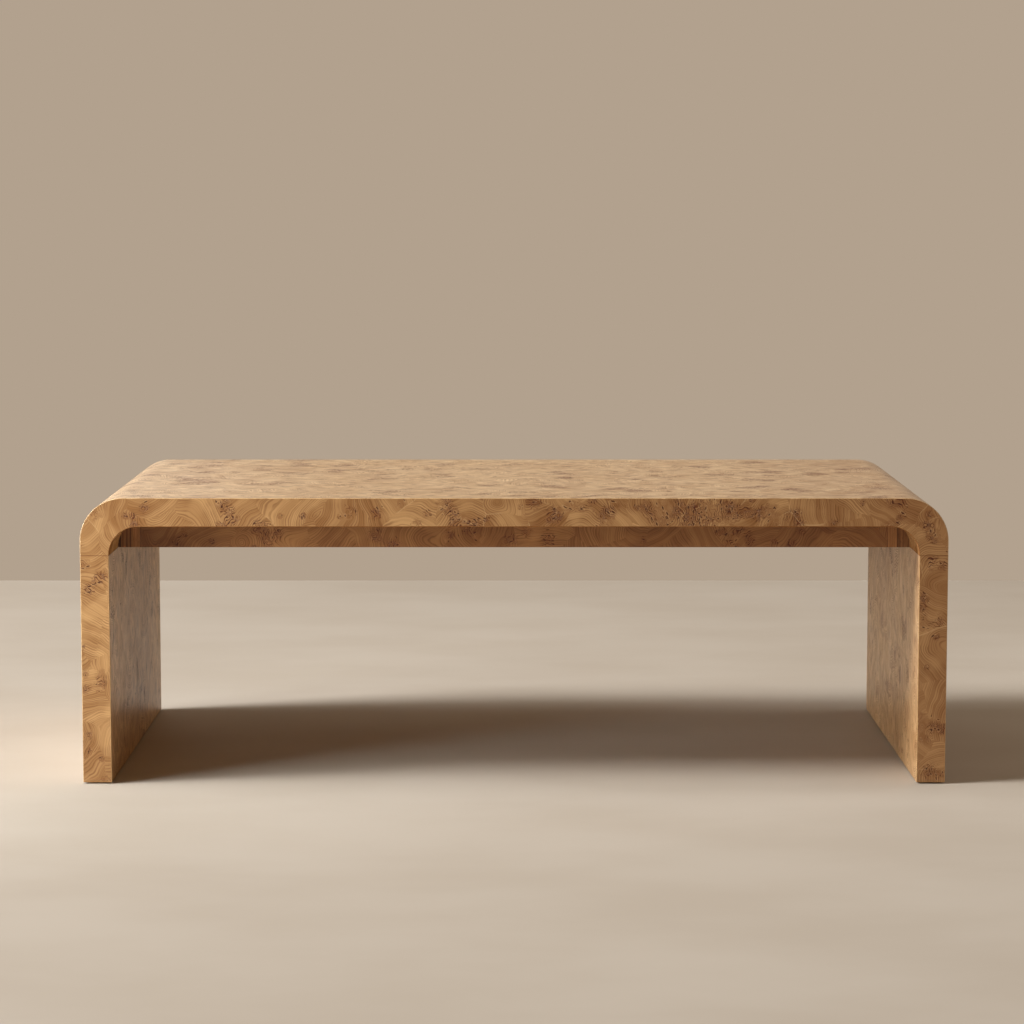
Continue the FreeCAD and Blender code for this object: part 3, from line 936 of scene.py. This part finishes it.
def store(piece: bpy.types.Object, name: str, numbers: np.ndarray) -> None:
    """Keeps one number for each point of a piece."""
    layer = piece.data.attributes.new(name, "FLOAT", "POINT")
    layer.data.foreach_set("value", numbers.astype(np.float32).ravel())


def store_map(piece: bpy.types.Object, flat: np.ndarray) -> None:
    """Keeps the leaf map on the corners of the faces.

    Args:
        piece: The leaf.
        flat: Two lengths in metres for each point.
    """
    corner = np.zeros(len(piece.data.loops), np.int32)
    piece.data.loops.foreach_get("vertex_index", corner)
    layer = piece.data.uv_layers.new(name=LEAF_MAP)
    layer.data.foreach_set("uv", flat[corner].astype(np.float32).ravel())


def hand_in(piece: bpy.types.Object, material: bpy.types.Material, slot: Slot, *nodes: str) -> None:
    """Gives a piece its finish, sets it on its body and lets it stand for the nodes it replaces.

    Args:
        piece: The piece.
        material: Its finish.
        slot: The record's slot for that finish; not used.
        nodes: Nodes it stands for.
    """
    piece.data.materials.append(material)
    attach(piece, BODY)
    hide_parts(*nodes)
    LOG.info("%s: %d faces for %s", piece.name, len(piece.data.polygons), ", ".join(nodes))


@dataclass(frozen=True)
class Laying:
    """Where on the flitch a leaf is cut: an offset in metres, a turn in degrees, and turned over or not."""

    offset: Spot
    turn: float = 0.0
    mirrored: bool = False

    def place(self, flat: np.ndarray) -> np.ndarray:
        """Places of the leaf's points on the flitch: mirrored first, then turned, then moved.

        Args:
            flat: Places on the leaf.

        Returns:
            Places on the flitch.
        """
        angle = math.radians(self.turn)
        along = -flat[..., 0] if self.mirrored else flat[..., 0]
        across = flat[..., 1]
        first = along * math.cos(angle) - across * math.sin(angle) + self.offset[0]
        second = along * math.sin(angle) + across * math.cos(angle) + self.offset[1]
        return np.stack([first, second], axis=-1)


@dataclass(frozen=True)
class Burrs:
    """Burr clusters on one leaf: knots at chosen places, or a figure strewn by a seed."""

    knots: Knots = ()
    figure: Figure | None = None
    seed: int = 0
    scatter: float = 1.1
    girth: Pair = (0.45, 1.25)

    def strewn(self, flat: np.ndarray) -> np.ndarray:
        """Strews clusters of one to three knots over a leaf, each about a hub that falls anywhere on it.

        The scatter about the hub and the girth of a knot are shares of the usual radius.

        Args:
            flat: Places on the leaf in metres.

        Returns:
            Place and radius of each knot in metres.
        """
        draw = np.random.default_rng(self.seed)
        low = flat.min(0)
        size = np.ptp(flat, axis=0)
        density, radius = self.figure.value
        count = int(density * float(size[0]) * float(size[1])) + 2
        hubs = low + draw.random((count, 2)) * size
        hub = np.repeat(hubs, draw.integers(1, 4, count), axis=0)
        around = hub + draw.normal(0.0, radius * self.scatter, (len(hub), 2))
        return np.column_stack([around, radius * draw.uniform(*self.girth, len(hub))])

    def spread(self, flat: np.ndarray) -> np.ndarray:
        """Share of burr at each point: the sum over the knots of a bell of the distance, at most one.

        Args:
            flat: Places on the leaf in metres.

        Returns:
            The share at each place, nought to one.
        """
        knots = self.strewn(flat) if self.figure else np.array(self.knots, float) * MILLI
        total = np.zeros(len(flat))
        for across, up, reach in knots:
            distance = (flat[:, 0] - across) ** 2 + (flat[:, 1] - up) ** 2
            total += np.exp(-distance / (reach * reach))
        return np.clip(total, 0.0, 1.0)


@dataclass(frozen=True)
class Cut:
    """How one leaf is cut and finished: its place on the flitch, its burrs and its finish."""

    laying: Laying
    burrs: Burrs
    finish: bpy.types.Material


@dataclass(frozen=True)
class Sheet:
    """The two sheets of one leaf, the face that shows and the side that is glued, on the same grid."""

    face: np.ndarray
    glued: np.ndarray
    flat: np.ndarray
    arris_strip: np.ndarray

    @classmethod
    def upright(cls, across: np.ndarray, up: np.ndarray, shown: float, glued: float) -> Sheet:
        """A flat leaf square to y.

        Args:
            across: x on a grid.
            up: z on the same grid.
            shown: y of the face.
            glued: y of the glued side.

        Returns:
            The two sheets; the map is x by z.
        """
        face, back = (np.stack([across, np.full_like(up, y), up], axis=-1) for y in (shown, glued))
        return cls(face, back, np.stack([across, up], axis=-1), np.zeros_like(up))

    def lay(self, label: str, cut: Cut, node: str = "") -> None:
        """Closes the leaf and hands it in: the face, the glued side turned over, and quads round the rim.

        Args:
            label: What the leaf is called.
            cut: How it is cut and finished.
            node: What its node is called, if not the same.
        """
        rows, columns = self.face.shape[:2]
        count = rows * columns
        front = grid_faces(rows, columns)
        border = rim(rows, columns)
        following = np.roll(border, -1)
        strip = np.column_stack([following, border, border + count, following + count])
        points = np.vstack([self.face.reshape(-1, 3), self.glued.reshape(-1, 3)])
        piece = make_mesh(f"{label}_leaf", points, np.vstack([front, front[:, ::-1] + count, strip]))
        both = np.vstack([self.flat.reshape(-1, 2)] * 2)
        store_map(piece, cut.laying.place(both))
        store(piece, BURR, cut.burrs.spread(both))
        store(piece, ARRIS_STRIP, np.tile(self.arris_strip.ravel(), 2))
        hand_in(piece, cut.finish, Slot.BURL, f"veneer_{node or label}")


def plane_sheet(corner: Point, along: Point, up: Point, out: Point, thickness: float, step: float,
                edges: tuple[Edge, Edge, Edge, Edge]) -> Sheet:
    """A flat leaf: a grid over a rectangle, dropped along its normal at the eased edges.

    Args:
        corner: Corner of the face that shows.
        along: Vector of its first side.
        up: Vector of its second side.
        out: Direction the face looks in.
        thickness: Thickness of the leaf.
        step: Spacing of the grid.
        edges: Easing at the start and end of the first side and of the second.

    Returns:
        The two sheets of the leaf; the map is the distance along each side.
    """
    length = float(np.linalg.norm(along))
    width = float(np.linalg.norm(up))
    run, run_drop = breaks(length, step, *edges[:2])
    rise, rise_drop = breaks(width, step, *edges[2:])
    drop = np.maximum(run_drop[:, None], rise_drop)
    flat = np.stack(np.broadcast_arrays(run[:, None], rise), axis=-1)
    first = flat[..., :1] * np.array(along) / length
    second = flat[..., 1:] * np.array(up) / width
    base = np.array(corner) + first + second
    face = base - drop[..., None] * np.array(out)
    return Sheet(face, base - thickness * np.array(out), flat, (drop > 0.0).astype(float))


@dataclass(frozen=True)
class ArchPath:
    """The line of the arch seen from the front: up one leg, round a shoulder, along the top and down."""

    centre_x: float
    centre_z: float
    radius: float
    foot_z: float

    @property
    def leg(self) -> float:
        """Length of the straight part below each shoulder."""
        return self.centre_z - self.foot_z

    @property
    def bend(self) -> float:
        """Length of one quarter turn."""
        return self.radius * QUARTER

    @property
    def length(self) -> float:
        """Whole length of the line."""
        return 2.0 * (self.leg + self.bend + self.centre_x)

    def at(self, travel: np.ndarray, offset: float | np.ndarray = 0.0) -> tuple[np.ndarray, np.ndarray]:
        """Places at each travel along the line, moved out along the normal by the offset.

        The turn is nought on the left leg, grows with travel over radius to a right angle at the left
        shoulder, stays there along the top, and grows to a straight angle at the right shoulder. The place
        is the centre of the shoulder, plus the radius and offset along the normal, plus what is left of
        each straight part.

        Args:
            travel: Distance along the line from the left foot.
            offset: Distance out along the normal.

        Returns:
            x and z of each place.
        """
        flat = 2.0 * self.centre_x
        low = np.clip(travel, 0.0, self.leg)
        first = np.clip(travel - self.leg, 0.0, self.bend)
        top = np.clip(travel - self.leg - self.bend, 0.0, flat)
        second = np.clip(travel - self.leg - self.bend - flat, 0.0, self.bend)
        last = np.clip(travel - self.length + self.leg, 0.0, self.leg)
        turn = (first + second) / self.radius
        reach = self.radius + offset
        return top - self.centre_x - reach * np.cos(turn), self.foot_z + low - last + reach * np.sin(turn)


def turned(radius: np.ndarray, height: np.ndarray, centre: Spot, hollow: bool) -> Mesh:
    """Rings round an upright axis, each point its radius times the cosine and sine of its turn.

    The last ring of a hollow body joins its first; a solid body is closed by a fan to the axis at each end.

    Args:
        radius: Radius of each point, one ring a row.
        height: Height of each ring.
        centre: x and y of the axis.
        hollow: Whether the body is hollow.

    Returns:
        Points and faces of a closed mesh.
    """
    rings, sides = radius.shape
    turn = np.arange(sides) * (FULL / sides)
    x = centre[0] + radius * np.cos(turn)
    y = centre[1] + radius * np.sin(turn)
    points = np.stack([x, y, np.broadcast_to(height[:, None], x.shape)], axis=-1).reshape(-1, 3)
    index = np.arange(rings * sides).reshape(rings, sides)
    index = np.vstack([index, index[:1]]) if hollow else index
    after = np.roll(index, -1, axis=1)
    tube = np.stack([index[:-1], after[:-1], after[1:], index[1:]], axis=-1).reshape(-1, 4)
    if hollow:
        return points, tube
    low = np.full(sides, rings * sides)
    start = np.column_stack([after[0], index[0], low, low])
    end = np.column_stack([index[-1], after[-1], low + 1, low + 1])
    return np.vstack([points, (*centre, height[0]), (*centre, height[-1])]), np.vstack([tube, start, end])


def quarter_round(middle: Spot, radius: float, steps: int) -> np.ndarray:
    """Radius and height of points on a quarter circle from its lowest point to its outermost one."""
    turn = np.linspace(-QUARTER, 0.0, steps)
    return np.array(middle) + radius * np.column_stack([np.cos(turn), np.sin(turn)])


def gather(parts: list[Mesh]) -> Mesh:
    """Joins several meshes into one, each with its face numbers moved on by the points before it.

    Args:
        parts: Points and faces of each mesh.

    Returns:
        Points and faces of all of them.
    """
    offsets = np.cumsum([0] + [len(points) for points, _ in parts[:-1]])
    points = np.vstack([points for points, _ in parts])
    return points, np.vstack([faces + offset for (_, faces), offset in zip(parts, offsets)])


# ---- Sub-assemblies -------------------------------------------------------------------------


@dataclass(frozen=True)
class Stock:
    """Sizes that the leaves of the whole table share, in metres."""

    half_length: float = 0.600
    half_depth: float = 0.300
    top_z: float = 0.400
    under_z: float = 0.360
    joint_z: float = 0.320
    foot_z: float = 0.002
    leg_thickness: float = 0.040
    leaf: float = 0.001
    arris: Edge = Edge(0.0008, 5)
    hairline: Edge = Edge(0.00015, 2)
    sharp: Edge = Edge()
    step: float = 0.0042

    @property
    def inner_x(self) -> float:
        """Distance from the middle to the inner face of a leg."""
        return self.half_length - self.leg_thickness


@dataclass(frozen=True)
class ArchLeaves:
    """The leaves of the arch: a wrap over the top and shoulders, one under them, and a band on each side."""

    stock: Stock
    shoulder_radius: float = 0.060
    cove_radius: float = 0.040
    band_rows: int = 12
    coarse: float = 1.6

    def outer_line(self, inset: float = 0.0) -> ArchPath:
        """The outer line of the arch, set in by the inset."""
        stock, radius = self.stock, self.shoulder_radius
        return ArchPath(stock.half_length - radius, stock.top_z - radius, radius - inset, stock.joint_z)

    def inner_line(self, inset: float = 0.0) -> ArchPath:
        """The inner line of the arch, set in by the inset."""
        stock, radius = self.stock, self.cove_radius
        return ArchPath(stock.inner_x - radius, stock.under_z - radius, radius + inset, stock.joint_z)

    def wrap(self, path: ArchPath, glue: float) -> Sheet:
        """A leaf bent over the arch: the line of the arch carried across the depth of the table.

        Args:
            path: Line of the face that shows.
            glue: Offset of the glued side from the face along the normal, its sign giving the side.

        Returns:
            The two sheets of the leaf; the map is travel along the line by distance across.
        """
        stock = self.stock
        depth = 2.0 * stock.half_depth
        travel, travel_drop = breaks(path.length, stock.step, stock.hairline, stock.hairline)
        across, across_drop = breaks(depth, stock.step * self.coarse, stock.arris, stock.arris)
        drop = np.maximum(travel_drop[:, None], across_drop)
        run, wide, arris_strip = np.broadcast_arrays(travel[:, None], across - depth / 2, across_drop > 0.0)
        face_x, face_z = path.at(run, drop * np.sign(glue))
        glued_x, glued_z = path.at(run, glue)
        face = np.stack([face_x, wide, face_z], axis=-1)
        glued = np.stack([glued_x, wide, glued_z], axis=-1)
        return Sheet(face, glued, np.stack([run - path.length / 2, wide], axis=-1), arris_strip.astype(float))

    def build_wraps(self, over: bpy.types.Material, under: bpy.types.Material) -> None:
        """Builds the two wraps.

        Args:
            over: Finish of the wrap over the top.
            under: Finish of the wrap under the top.
        """
        leaf = self.stock.leaf
        cut = Cut(Laying((3.1, 0.4)), Burrs(figure=Figure.STREAKED, seed=11), over)
        self.wrap(self.outer_line(), -leaf).lay("top_wrap", cut, "wrap_over_top")
        cut = Cut(Laying((6.3, 2.2), mirrored=True), Burrs(figure=Figure.SPARSE, seed=12), under)
        self.wrap(self.inner_line(), leaf).lay("under_wrap", cut, "wrap_under_top")

    def build_band(self, face: Face, cut: Cut) -> None:
        """Builds the band on one long side: a ruled surface between the two lines of the arch.

        Each point is a share of the way from the inner line to the outer one, both read at the same share of
        their lengths.

        Args:
            face: The long side.
            cut: How the band is cut and finished.
        """
        stock = self.stock
        outer = self.outer_line(stock.leaf)
        inner = self.inner_line(stock.leaf)
        travel = np.linspace(0.0, 1.0, int(outer.length / stock.step) + 1)[:, None]
        far = np.stack(outer.at(travel * outer.length))
        near = np.stack(inner.at(travel * inner.length))
        across, up = near + (far - near) * np.linspace(0.0, 1.0, self.band_rows)
        shown = face.value * stock.half_depth
        sheet = Sheet.upright(across, up, shown, shown - face.value * stock.leaf)
        sheet.lay(f"arch_band_{face.name.lower()}", cut)


@dataclass(frozen=True)
class LegLeaves:
    """The four leaves of one leg: outer and inner face, front and back edge."""

    stock: Stock
    side: Side
    coarse: float = 1.4
    fine: float = 0.9

    def build_faces(self, seed: int, outside: bpy.types.Material, inside: bpy.types.Material) -> None:
        """Builds the outer and the inner face, which lap over the edge leaves and have eased edges.

        Args:
            seed: Seed of the burr clusters.
            outside: Finish of the outer face.
            inside: Finish of the inner face.
        """
        stock = self.stock
        along = (0.0, 2.0 * stock.half_depth, 0.0)
        up = (0.0, 0.0, stock.joint_z - stock.foot_z)
        edges = (stock.arris, stock.arris, stock.arris, stock.hairline)
        faces = (("outer", stock.half_length, 1.0, outside), ("inner", stock.inner_x, -1.0, inside))
        # Each face is cut from its own place on the flitch.
        for number, (label, distance, look, finish) in enumerate(faces):
            corner = (self.side.value * distance, -stock.half_depth, stock.foot_z)
            out = (self.side.value * look, 0.0, 0.0)
            sheet = plane_sheet(corner, along, up, out, stock.leaf, stock.step * self.coarse, edges)
            laying = Laying((9.0 + 1.3 * number, 1.0 + seed * 0.7), 90.0)
            cut = Cut(laying, Burrs(figure=Figure.LIVELY, seed=seed + number), finish)
            sheet.lay(f"leg_{label}_{self.side.name.lower()}", cut)

    def build_edge(self, face: Face, cut: Cut) -> None:
        """Builds the leaf on the front or back edge of the leg, between the two face leaves.

        Args:
            face: The long side it is on.
            cut: How it is cut and finished.
        """
        stock = self.stock
        width = stock.leg_thickness - 2.0 * stock.leaf
        low = self.side.value * (stock.half_length - stock.leg_thickness / 2) - width / 2
        corner = (low, face.value * stock.half_depth, stock.foot_z)
        up = (0.0, 0.0, stock.joint_z - stock.foot_z)
        edges = (stock.sharp, stock.sharp, stock.arris, stock.hairline)
        out = (0.0, float(face.value), 0.0)
        sheet = plane_sheet(corner, (width, 0.0, 0.0), up, out, stock.leaf, stock.step * self.fine, edges)
        sheet = replace(sheet, flat=sheet.flat + (low, stock.foot_z))
        sheet.lay(f"leg_edge_{face.name.lower()}_{self.side.name.lower()}", cut)


@dataclass(frozen=True)
class RailLeaves:
    """The face and foot leaves of the front or back rail under the top."""

    stock: Stock
    face: Face
    setback: float = 0.100
    half_run: float = 0.528
    cope_x: float = 0.520
    cope_radius: float = 0.040
    core: float = 0.019
    rows: int = 11

    def build(self, cut: Cut) -> None:
        """Builds both leaves.

        Beyond the cope the top of the face follows the circle of the cove: its height is the root of the
        radius squared less the distance beyond squared.

        Args:
            cut: How the face is cut and finished.
        """
        stock, side = self.stock, self.face.value
        low = stock.under_z - self.cope_radius
        along = np.linspace(-self.half_run, self.half_run, 2 * int(self.half_run / stock.step) + 1)
        beyond = np.maximum(np.abs(along) - self.cope_x, 0.0)
        top = low + np.sqrt(self.cope_radius**2 - beyond**2)
        up = low + (top[:, None] - low) * np.linspace(0.0, 1.0, self.rows)
        shown = side * (stock.half_depth - self.setback)
        glued = shown - side * stock.leaf
        name = self.face.name.lower()
        across = np.broadcast_to(along[:, None], up.shape)
        Sheet.upright(across, up, shown, glued).lay(f"rail_face_{name}", cut)
        corner = (-self.half_run, glued, low)
        length = (2.0 * self.half_run, 0.0, 0.0)
        width = (0.0, -side * self.core, 0.0)
        down = (0.0, 0.0, -1.0)
        foot = plane_sheet(corner, length, width, down, stock.leaf, stock.step, (stock.sharp,) * 4)
        burrs = Burrs(figure=Figure.SPARSE, seed=71)
        foot.lay(f"rail_foot_{name}", Cut(Laying((15.0, float(side))), burrs, cut.finish))


@dataclass(frozen=True)
class WoodScrew:
    """A wood screw that stands on its head: cross recess, head, plain shank, thread and point, in metres.

    The head is a line of radius and height. The thread starts at plain_z, thins from point_z and ends at
    tip_z; crest and core are its radii. The slopes of the recess are shares of its mouth and of its depth.
    """

    head: tuple[Spot, ...]
    plain_z: float
    point_z: float
    tip_z: float
    crest: float
    core: float
    pitch: float
    arm: float
    arm_width: float
    recess: float
    sides: int = 48
    rings_per_pitch: int = 8
    slopes: tuple[Pair, ...] = ((0.45, 1.0), (0.8, 0.7), (1.0, 0.0))
    blunt: float = 0.04

    def cross(self, turn: np.ndarray) -> np.ndarray:
        """Radius of the outline of the cross recess at each turn.

        The turn is folded to the nearest arm; the radius is the lesser of the arm's length over the cosine
        and half of its width over the sine.

        Args:
            turn: Turn of each point.

        Returns:
            The radii.
        """
        folded = np.abs((turn + QUARTER / 2) % QUARTER - QUARTER / 2)
        flank = 0.5 * self.arm_width / np.maximum(np.sin(folded), TINY)
        return np.minimum(self.arm / np.cos(folded), flank)

    def mesh(self, centre: Spot) -> Mesh:
        """Builds the screw as stacked rings.

        The thread's radius is the core plus its depth times a crest, a cosine of height over pitch less the
        share of a turn, raised to the fourth power. It fades in over one pitch, and all of it shrinks
        evenly to the point.

        Args:
            centre: x and y of the screw's axis.

        Returns:
            Points and faces of a closed mesh.
        """
        turn = np.arange(self.sides) * (FULL / self.sides)
        mouth = self.cross(turn)
        head = np.array(self.head)
        count = int((self.tip_z - self.plain_z) / self.pitch * self.rings_per_pitch)
        up = np.linspace(self.plain_z, self.tip_z, count + 1)
        wave = 0.5 + 0.5 * np.cos(FULL * (up[:, None] / self.pitch - turn / FULL))
        fade = np.clip((up - self.plain_z) / self.pitch, 0.0, 1.0)[:, None]
        taper = np.clip((self.tip_z - up) / (self.tip_z - self.point_z), self.blunt, 1.0)[:, None]
        thread = (self.core + (self.crest - self.core) * wave**4 * fade) * taper
        collar = np.broadcast_to(head[:, :1], (len(head), self.sides))
        width, depth = np.array(self.slopes).T
        rings = [width[:, None] * mouth, collar, thread]
        heights = [head[0, 1] + depth * self.recess, head[:, 1], up]
        return turned(np.vstack(rings), np.concatenate(heights), centre, False)


@dataclass(frozen=True)
class Fixings:
    """The glides under the legs, their screws, and the screws that hold the cross rails up to the top."""

    glide_x: float = 0.580
    glide_y: float = 0.250
    glide_radius: float = 0.013
    glide_height: float = 0.005
    glide_rim: float = 0.0011
    glide_bevel: float = 0.0003
    glide_sides: int = 64
    rail_x: float = 0.280
    rail_y: float = 0.110
    moulded_ring: tuple[Spot, ...] = ((0.0076, 0.0), (0.0079, 0.0005), (0.0085, 0.0005), (0.0088, 0.0))
    hole: tuple[Spot, ...] = ((0.00195, 0.005), (0.00195, 0.0032), (0.0042, 0.0004), (0.0047, 0.0))
    glide_head: tuple[Spot, ...] = (
        (0.0031, 0.0010), (0.0034, 0.00105), (0.0035, 0.0012), (0.0019, 0.0031), (0.0013, 0.0034),
    )
    rim_steps: int = 7
    pan_steps: int = 6
    pan_rim_middle: Spot = (0.0028, 0.3344)
    pan_rim: float = 0.0012
    pan_shank: tuple[Spot, ...] = ((0.0040, 0.3358), (0.0038, 0.3360), (0.0020, 0.3360), (0.0019, 0.3590))

    def glide(self, centre: Spot) -> Mesh:
        """Builds one glide: a closed section carried round its axis.

        A quarter round eases the rim, a shallow ring is moulded underneath, and the hole is a cone for the
        screw's head that narrows to its shank.

        Args:
            centre: x and y of its axis.

        Returns:
            Points and faces of a closed mesh.
        """
        radius, height, bevel = self.glide_radius, self.glide_height, self.glide_bevel
        rounded = quarter_round((radius - self.glide_rim, self.glide_rim), self.glide_rim, self.rim_steps)
        shoulder = [(radius, height - bevel), (radius - bevel, height)]
        section = np.vstack([self.moulded_ring, rounded, shoulder, self.hole])
        rings = np.broadcast_to(section[:, :1], (len(section), self.glide_sides))
        return turned(rings, section[:, 1], centre, True)

    def build(self, plastic: bpy.types.Material, steel: bpy.types.Material) -> None:
        """Builds the glides and both sets of screws.

        Args:
            plastic: Finish of the glides.
            steel: Finish of the screws.
        """
        feet = [(x * self.glide_x, y * self.glide_y) for x in (-1, 1) for y in (-1, 1)]
        spots = [(x * self.rail_x, y * self.rail_y) for x in (-1, 0, 1) for y in (-1, 1)]
        short = WoodScrew(
            self.glide_head, plain_z=0.0036, point_z=0.0180, tip_z=0.0210, crest=0.00175, core=0.00115,
            pitch=0.0016, arm=0.0021, arm_width=0.0010, recess=0.0014,
        )
        pan = quarter_round(self.pan_rim_middle, self.pan_rim, self.pan_steps)
        long = WoodScrew(
            (*pan.tolist(), *self.pan_shank), plain_z=0.3592, point_z=0.3720, tip_z=0.3760, crest=0.0020,
            core=0.00135, pitch=0.0018, arm=0.0024, arm_width=0.0011, recess=0.0017,
        )
        sets = (
            ("glide_pads", [self.glide(foot) for foot in feet], plastic, Slot.NYLON, "glides"),
            ("glide_wood_screws", [short.mesh(foot) for foot in feet], steel, Slot.STEEL, "glide_screws"),
            ("rail_wood_screws", [long.mesh(spot) for spot in spots], steel, Slot.STEEL, "rail_screws"),
        )
        for name, parts, material, slot, node in sets:
            hand_in(make_mesh(name, *gather(parts)), material, slot, node)


def dress(nodes: dict[str, bpy.types.Object], prefixes: tuple[str, ...], finish: bpy.types.Material) -> None:
    """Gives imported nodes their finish, in their own material slots.

    Args:
        nodes: All the nodes by name.
        prefixes: How the names of the nodes to dress start.
        finish: Their finish.
    """
    for name in sorted(name for name in nodes if name.startswith(prefixes)):
        node = nodes[name]
        if not node.data.materials:
            node.data.materials.append(finish)
        for slot in node.material_slots:
            slot.link = "OBJECT"
            slot.material = finish
        LOG.info("%s: dressed in %s", name, finish.name)


# ---- Studio ---------------------------------------------------------------------------------


@dataclass(frozen=True)
class Lamp:
    """A round soft lamp: place, aim, width in metres, power in watts, tint, and spread in degrees."""

    name: str
    place: Point
    aim: Point
    width: float
    power: float
    tint: Point
    spread: float = 180.0

    def hang(self) -> None:
        """Hangs the lamp, turned so that it shines from its place to its aim."""
        lamp = bpy.data.lights.new(self.name, "AREA")
        lamp.shape = "DISK"
        lamp.size = self.width
        lamp.energy = self.power
        lamp.color = self.tint
        lamp.spread = math.radians(self.spread)
        holder = bpy.data.objects.new(self.name, lamp)
        holder.location = self.place
        x, y, z = np.subtract(self.place, self.aim)
        holder.rotation_euler = (math.atan2(math.hypot(x, y), z), 0.0, math.atan2(x, -y))
        holder.visible_camera = False
        bpy.context.scene.collection.objects.link(holder)


@dataclass(frozen=True)
class Studio:
    """Floor, lamps, backdrop colour and camera."""

    focal_length: float = 106.69
    sensor: float = 36.0
    camera: Point = (-0.00294, -4.46243, 0.8246)
    pitch: float = 0.10623
    far_clip: float = 50.0
    floor_edge: float = 1.905
    floor_reach: float = 4.0
    floor_grid: tuple[int, int] = (17, 13)
    wall: Colour = (178, 161, 142)
    air: tuple[float, ...] = (1.0, 0.66, 0.37, 1.0)
    ambient: float = 0.162
    lamps: tuple[Lamp, ...] = (
        Lamp("key", (-11.434, -2.8, 7.998), (-0.15, 0.0, 0.2), 4.1, 2120.0, (1.0, 0.98, 0.945)),
        Lamp("high", (-1.8, -0.15, 2.9), (0.0, 0.0, 0.3), 1.2, 35.0, (1.0, 0.98, 0.95)),
        Lamp("fill", (-1.85, -1.15, 0.50), (-0.62, -0.3, 0.3), 0.6, 2.4, (0.96, 1.0, 0.98), 50.0),
        Lamp("behind", (-1.6, 3.6, 1.5), (0.0, 0.0, 0.3), 2.0, 5.0, (1.0, 0.95, 0.88)),
        Lamp("right", (3.0, 0.6, 1.6), (0.0, 0.0, 0.3), 1.6, 15.5, (1.0, 0.93, 0.84)),
    )

    def build(self) -> None:
        """Builds the studio."""
        bpy.context.scene.view_settings.view_transform = "Standard"
        self.place_camera()
        self.lay_floor()
        for lamp in self.lamps:
            lamp.hang()
        self.paint_backdrop()

    def place_camera(self) -> None:
        """Sets the camera in front of the table, a little above it and tilted down."""
        camera = bpy.data.cameras.new("camera")
        camera.lens = self.focal_length
        camera.sensor_width = self.sensor
        camera.clip_end = self.far_clip
        holder = bpy.data.objects.new("camera", camera)
        holder.location = self.camera
        holder.rotation_euler = (QUARTER - self.pitch, 0.0, 0.0)
        bpy.context.scene.collection.objects.link(holder)
        bpy.context.scene.camera = holder

    def lay_floor(self) -> None:
        """Lays the floor as a gridded sheet that ends behind the table, where the backdrop starts."""
        rows, columns = self.floor_grid
        across = np.linspace(-self.floor_reach, self.floor_reach, rows)
        deep = np.linspace(-self.floor_reach, self.floor_edge, columns)
        x, y = np.meshgrid(across, deep, indexing="ij")
        points = np.stack([x, y, np.zeros_like(x)], axis=-1).reshape(-1, 3)
        floor = make_mesh("floor", points, grid_faces(rows, columns))
        floor.data.materials.append(PaleFloor().material())

    def paint_backdrop(self) -> None:
        """Paints the world: the wall colour where it is seen or mirrored, a soft light elsewhere."""
        world = bpy.data.worlds.new("studio")
        bpy.context.scene.world = world
        bench = Bench(world)
        rays = bench.node("ShaderNodeLightPath", {}, {}).outputs
        seen = [Value(bench, rays[f"Is {kind} Ray"]) for kind in ("Camera", "Glossy", "Transmission")]
        wall = bench.add("ShaderNodeBackground", {}, {"Color": linear(self.wall), "Strength": 1.0})
        air = bench.add("ShaderNodeBackground", {}, {"Color": self.air, "Strength": self.ambient})
        blend = bench.add("ShaderNodeMixShader", {}, {0: bench.greatest(*seen), 1: air, 2: wall})
        bench.node("ShaderNodeOutputWorld", {}, {"Surface": blend})


# ---- The whole table ------------------------------------------------------------------------


def lay_veneer() -> None:
    """Lays every veneer leaf: the arch, the two legs and the two rails."""
    stock = Stock()
    band = BAND_BURL.material()
    inner, outer = INNER_BURL_PAINTED_LIGHT.material(), OUTER_BURL.material()
    front, back = Laying((0.9, 0.1)), Laying((3.7, 5.1), mirrored=True)
    arch = ArchLeaves(stock)
    arch.build_wraps(TOP_BURL_PAINTED_SHEEN.material(), UNDER_BURL.material())
    arch.build_band(Face.FRONT, Cut(front, Burrs(FRONT_BAND_KNOTS), band))
    arch.build_band(Face.BACK, Cut(back, Burrs(figure=Figure.DENSE, seed=22), band))
    for side, seed, knots in ((Side.LEFT, 25, LEFT_LEG_KNOTS), (Side.RIGHT, 35, RIGHT_LEG_KNOTS)):
        leg = LegLeaves(stock, side)
        leg.build_faces(seed, outer, inner)
        leg.build_edge(Face.FRONT, Cut(front, Burrs(knots), band))
        leg.build_edge(Face.BACK, Cut(back, Burrs(figure=Figure.DENSE, seed=24), band))
    # The rails' darker copy of the veneer is painted shade under the top.
    heart = RAIL_BURL_PAINTED_SHADE.material()
    RailLeaves(stock, Face.FRONT).build(Cut(Laying((12.0, 3.3)), Burrs(FRONT_RAIL_KNOTS), heart))
    burrs = Burrs(figure=Figure.LIVELY, seed=26)
    RailLeaves(stock, Face.BACK).build(Cut(Laying((12.0, 7.3), mirrored=True), burrs, heart))


def main() -> None:
    """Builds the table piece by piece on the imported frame, then the studio."""
    logging.basicConfig(level=logging.INFO, format="%(name)s %(message)s")
    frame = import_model()
    lay_veneer()
    for finish, prefixes in CARCASE:
        dress(frame["nodes"], prefixes, finish.material())
    Fixings().build(Nylon().material(), ZincSteel().material())
    Studio().build()


if __name__ == "__main__":
    main()
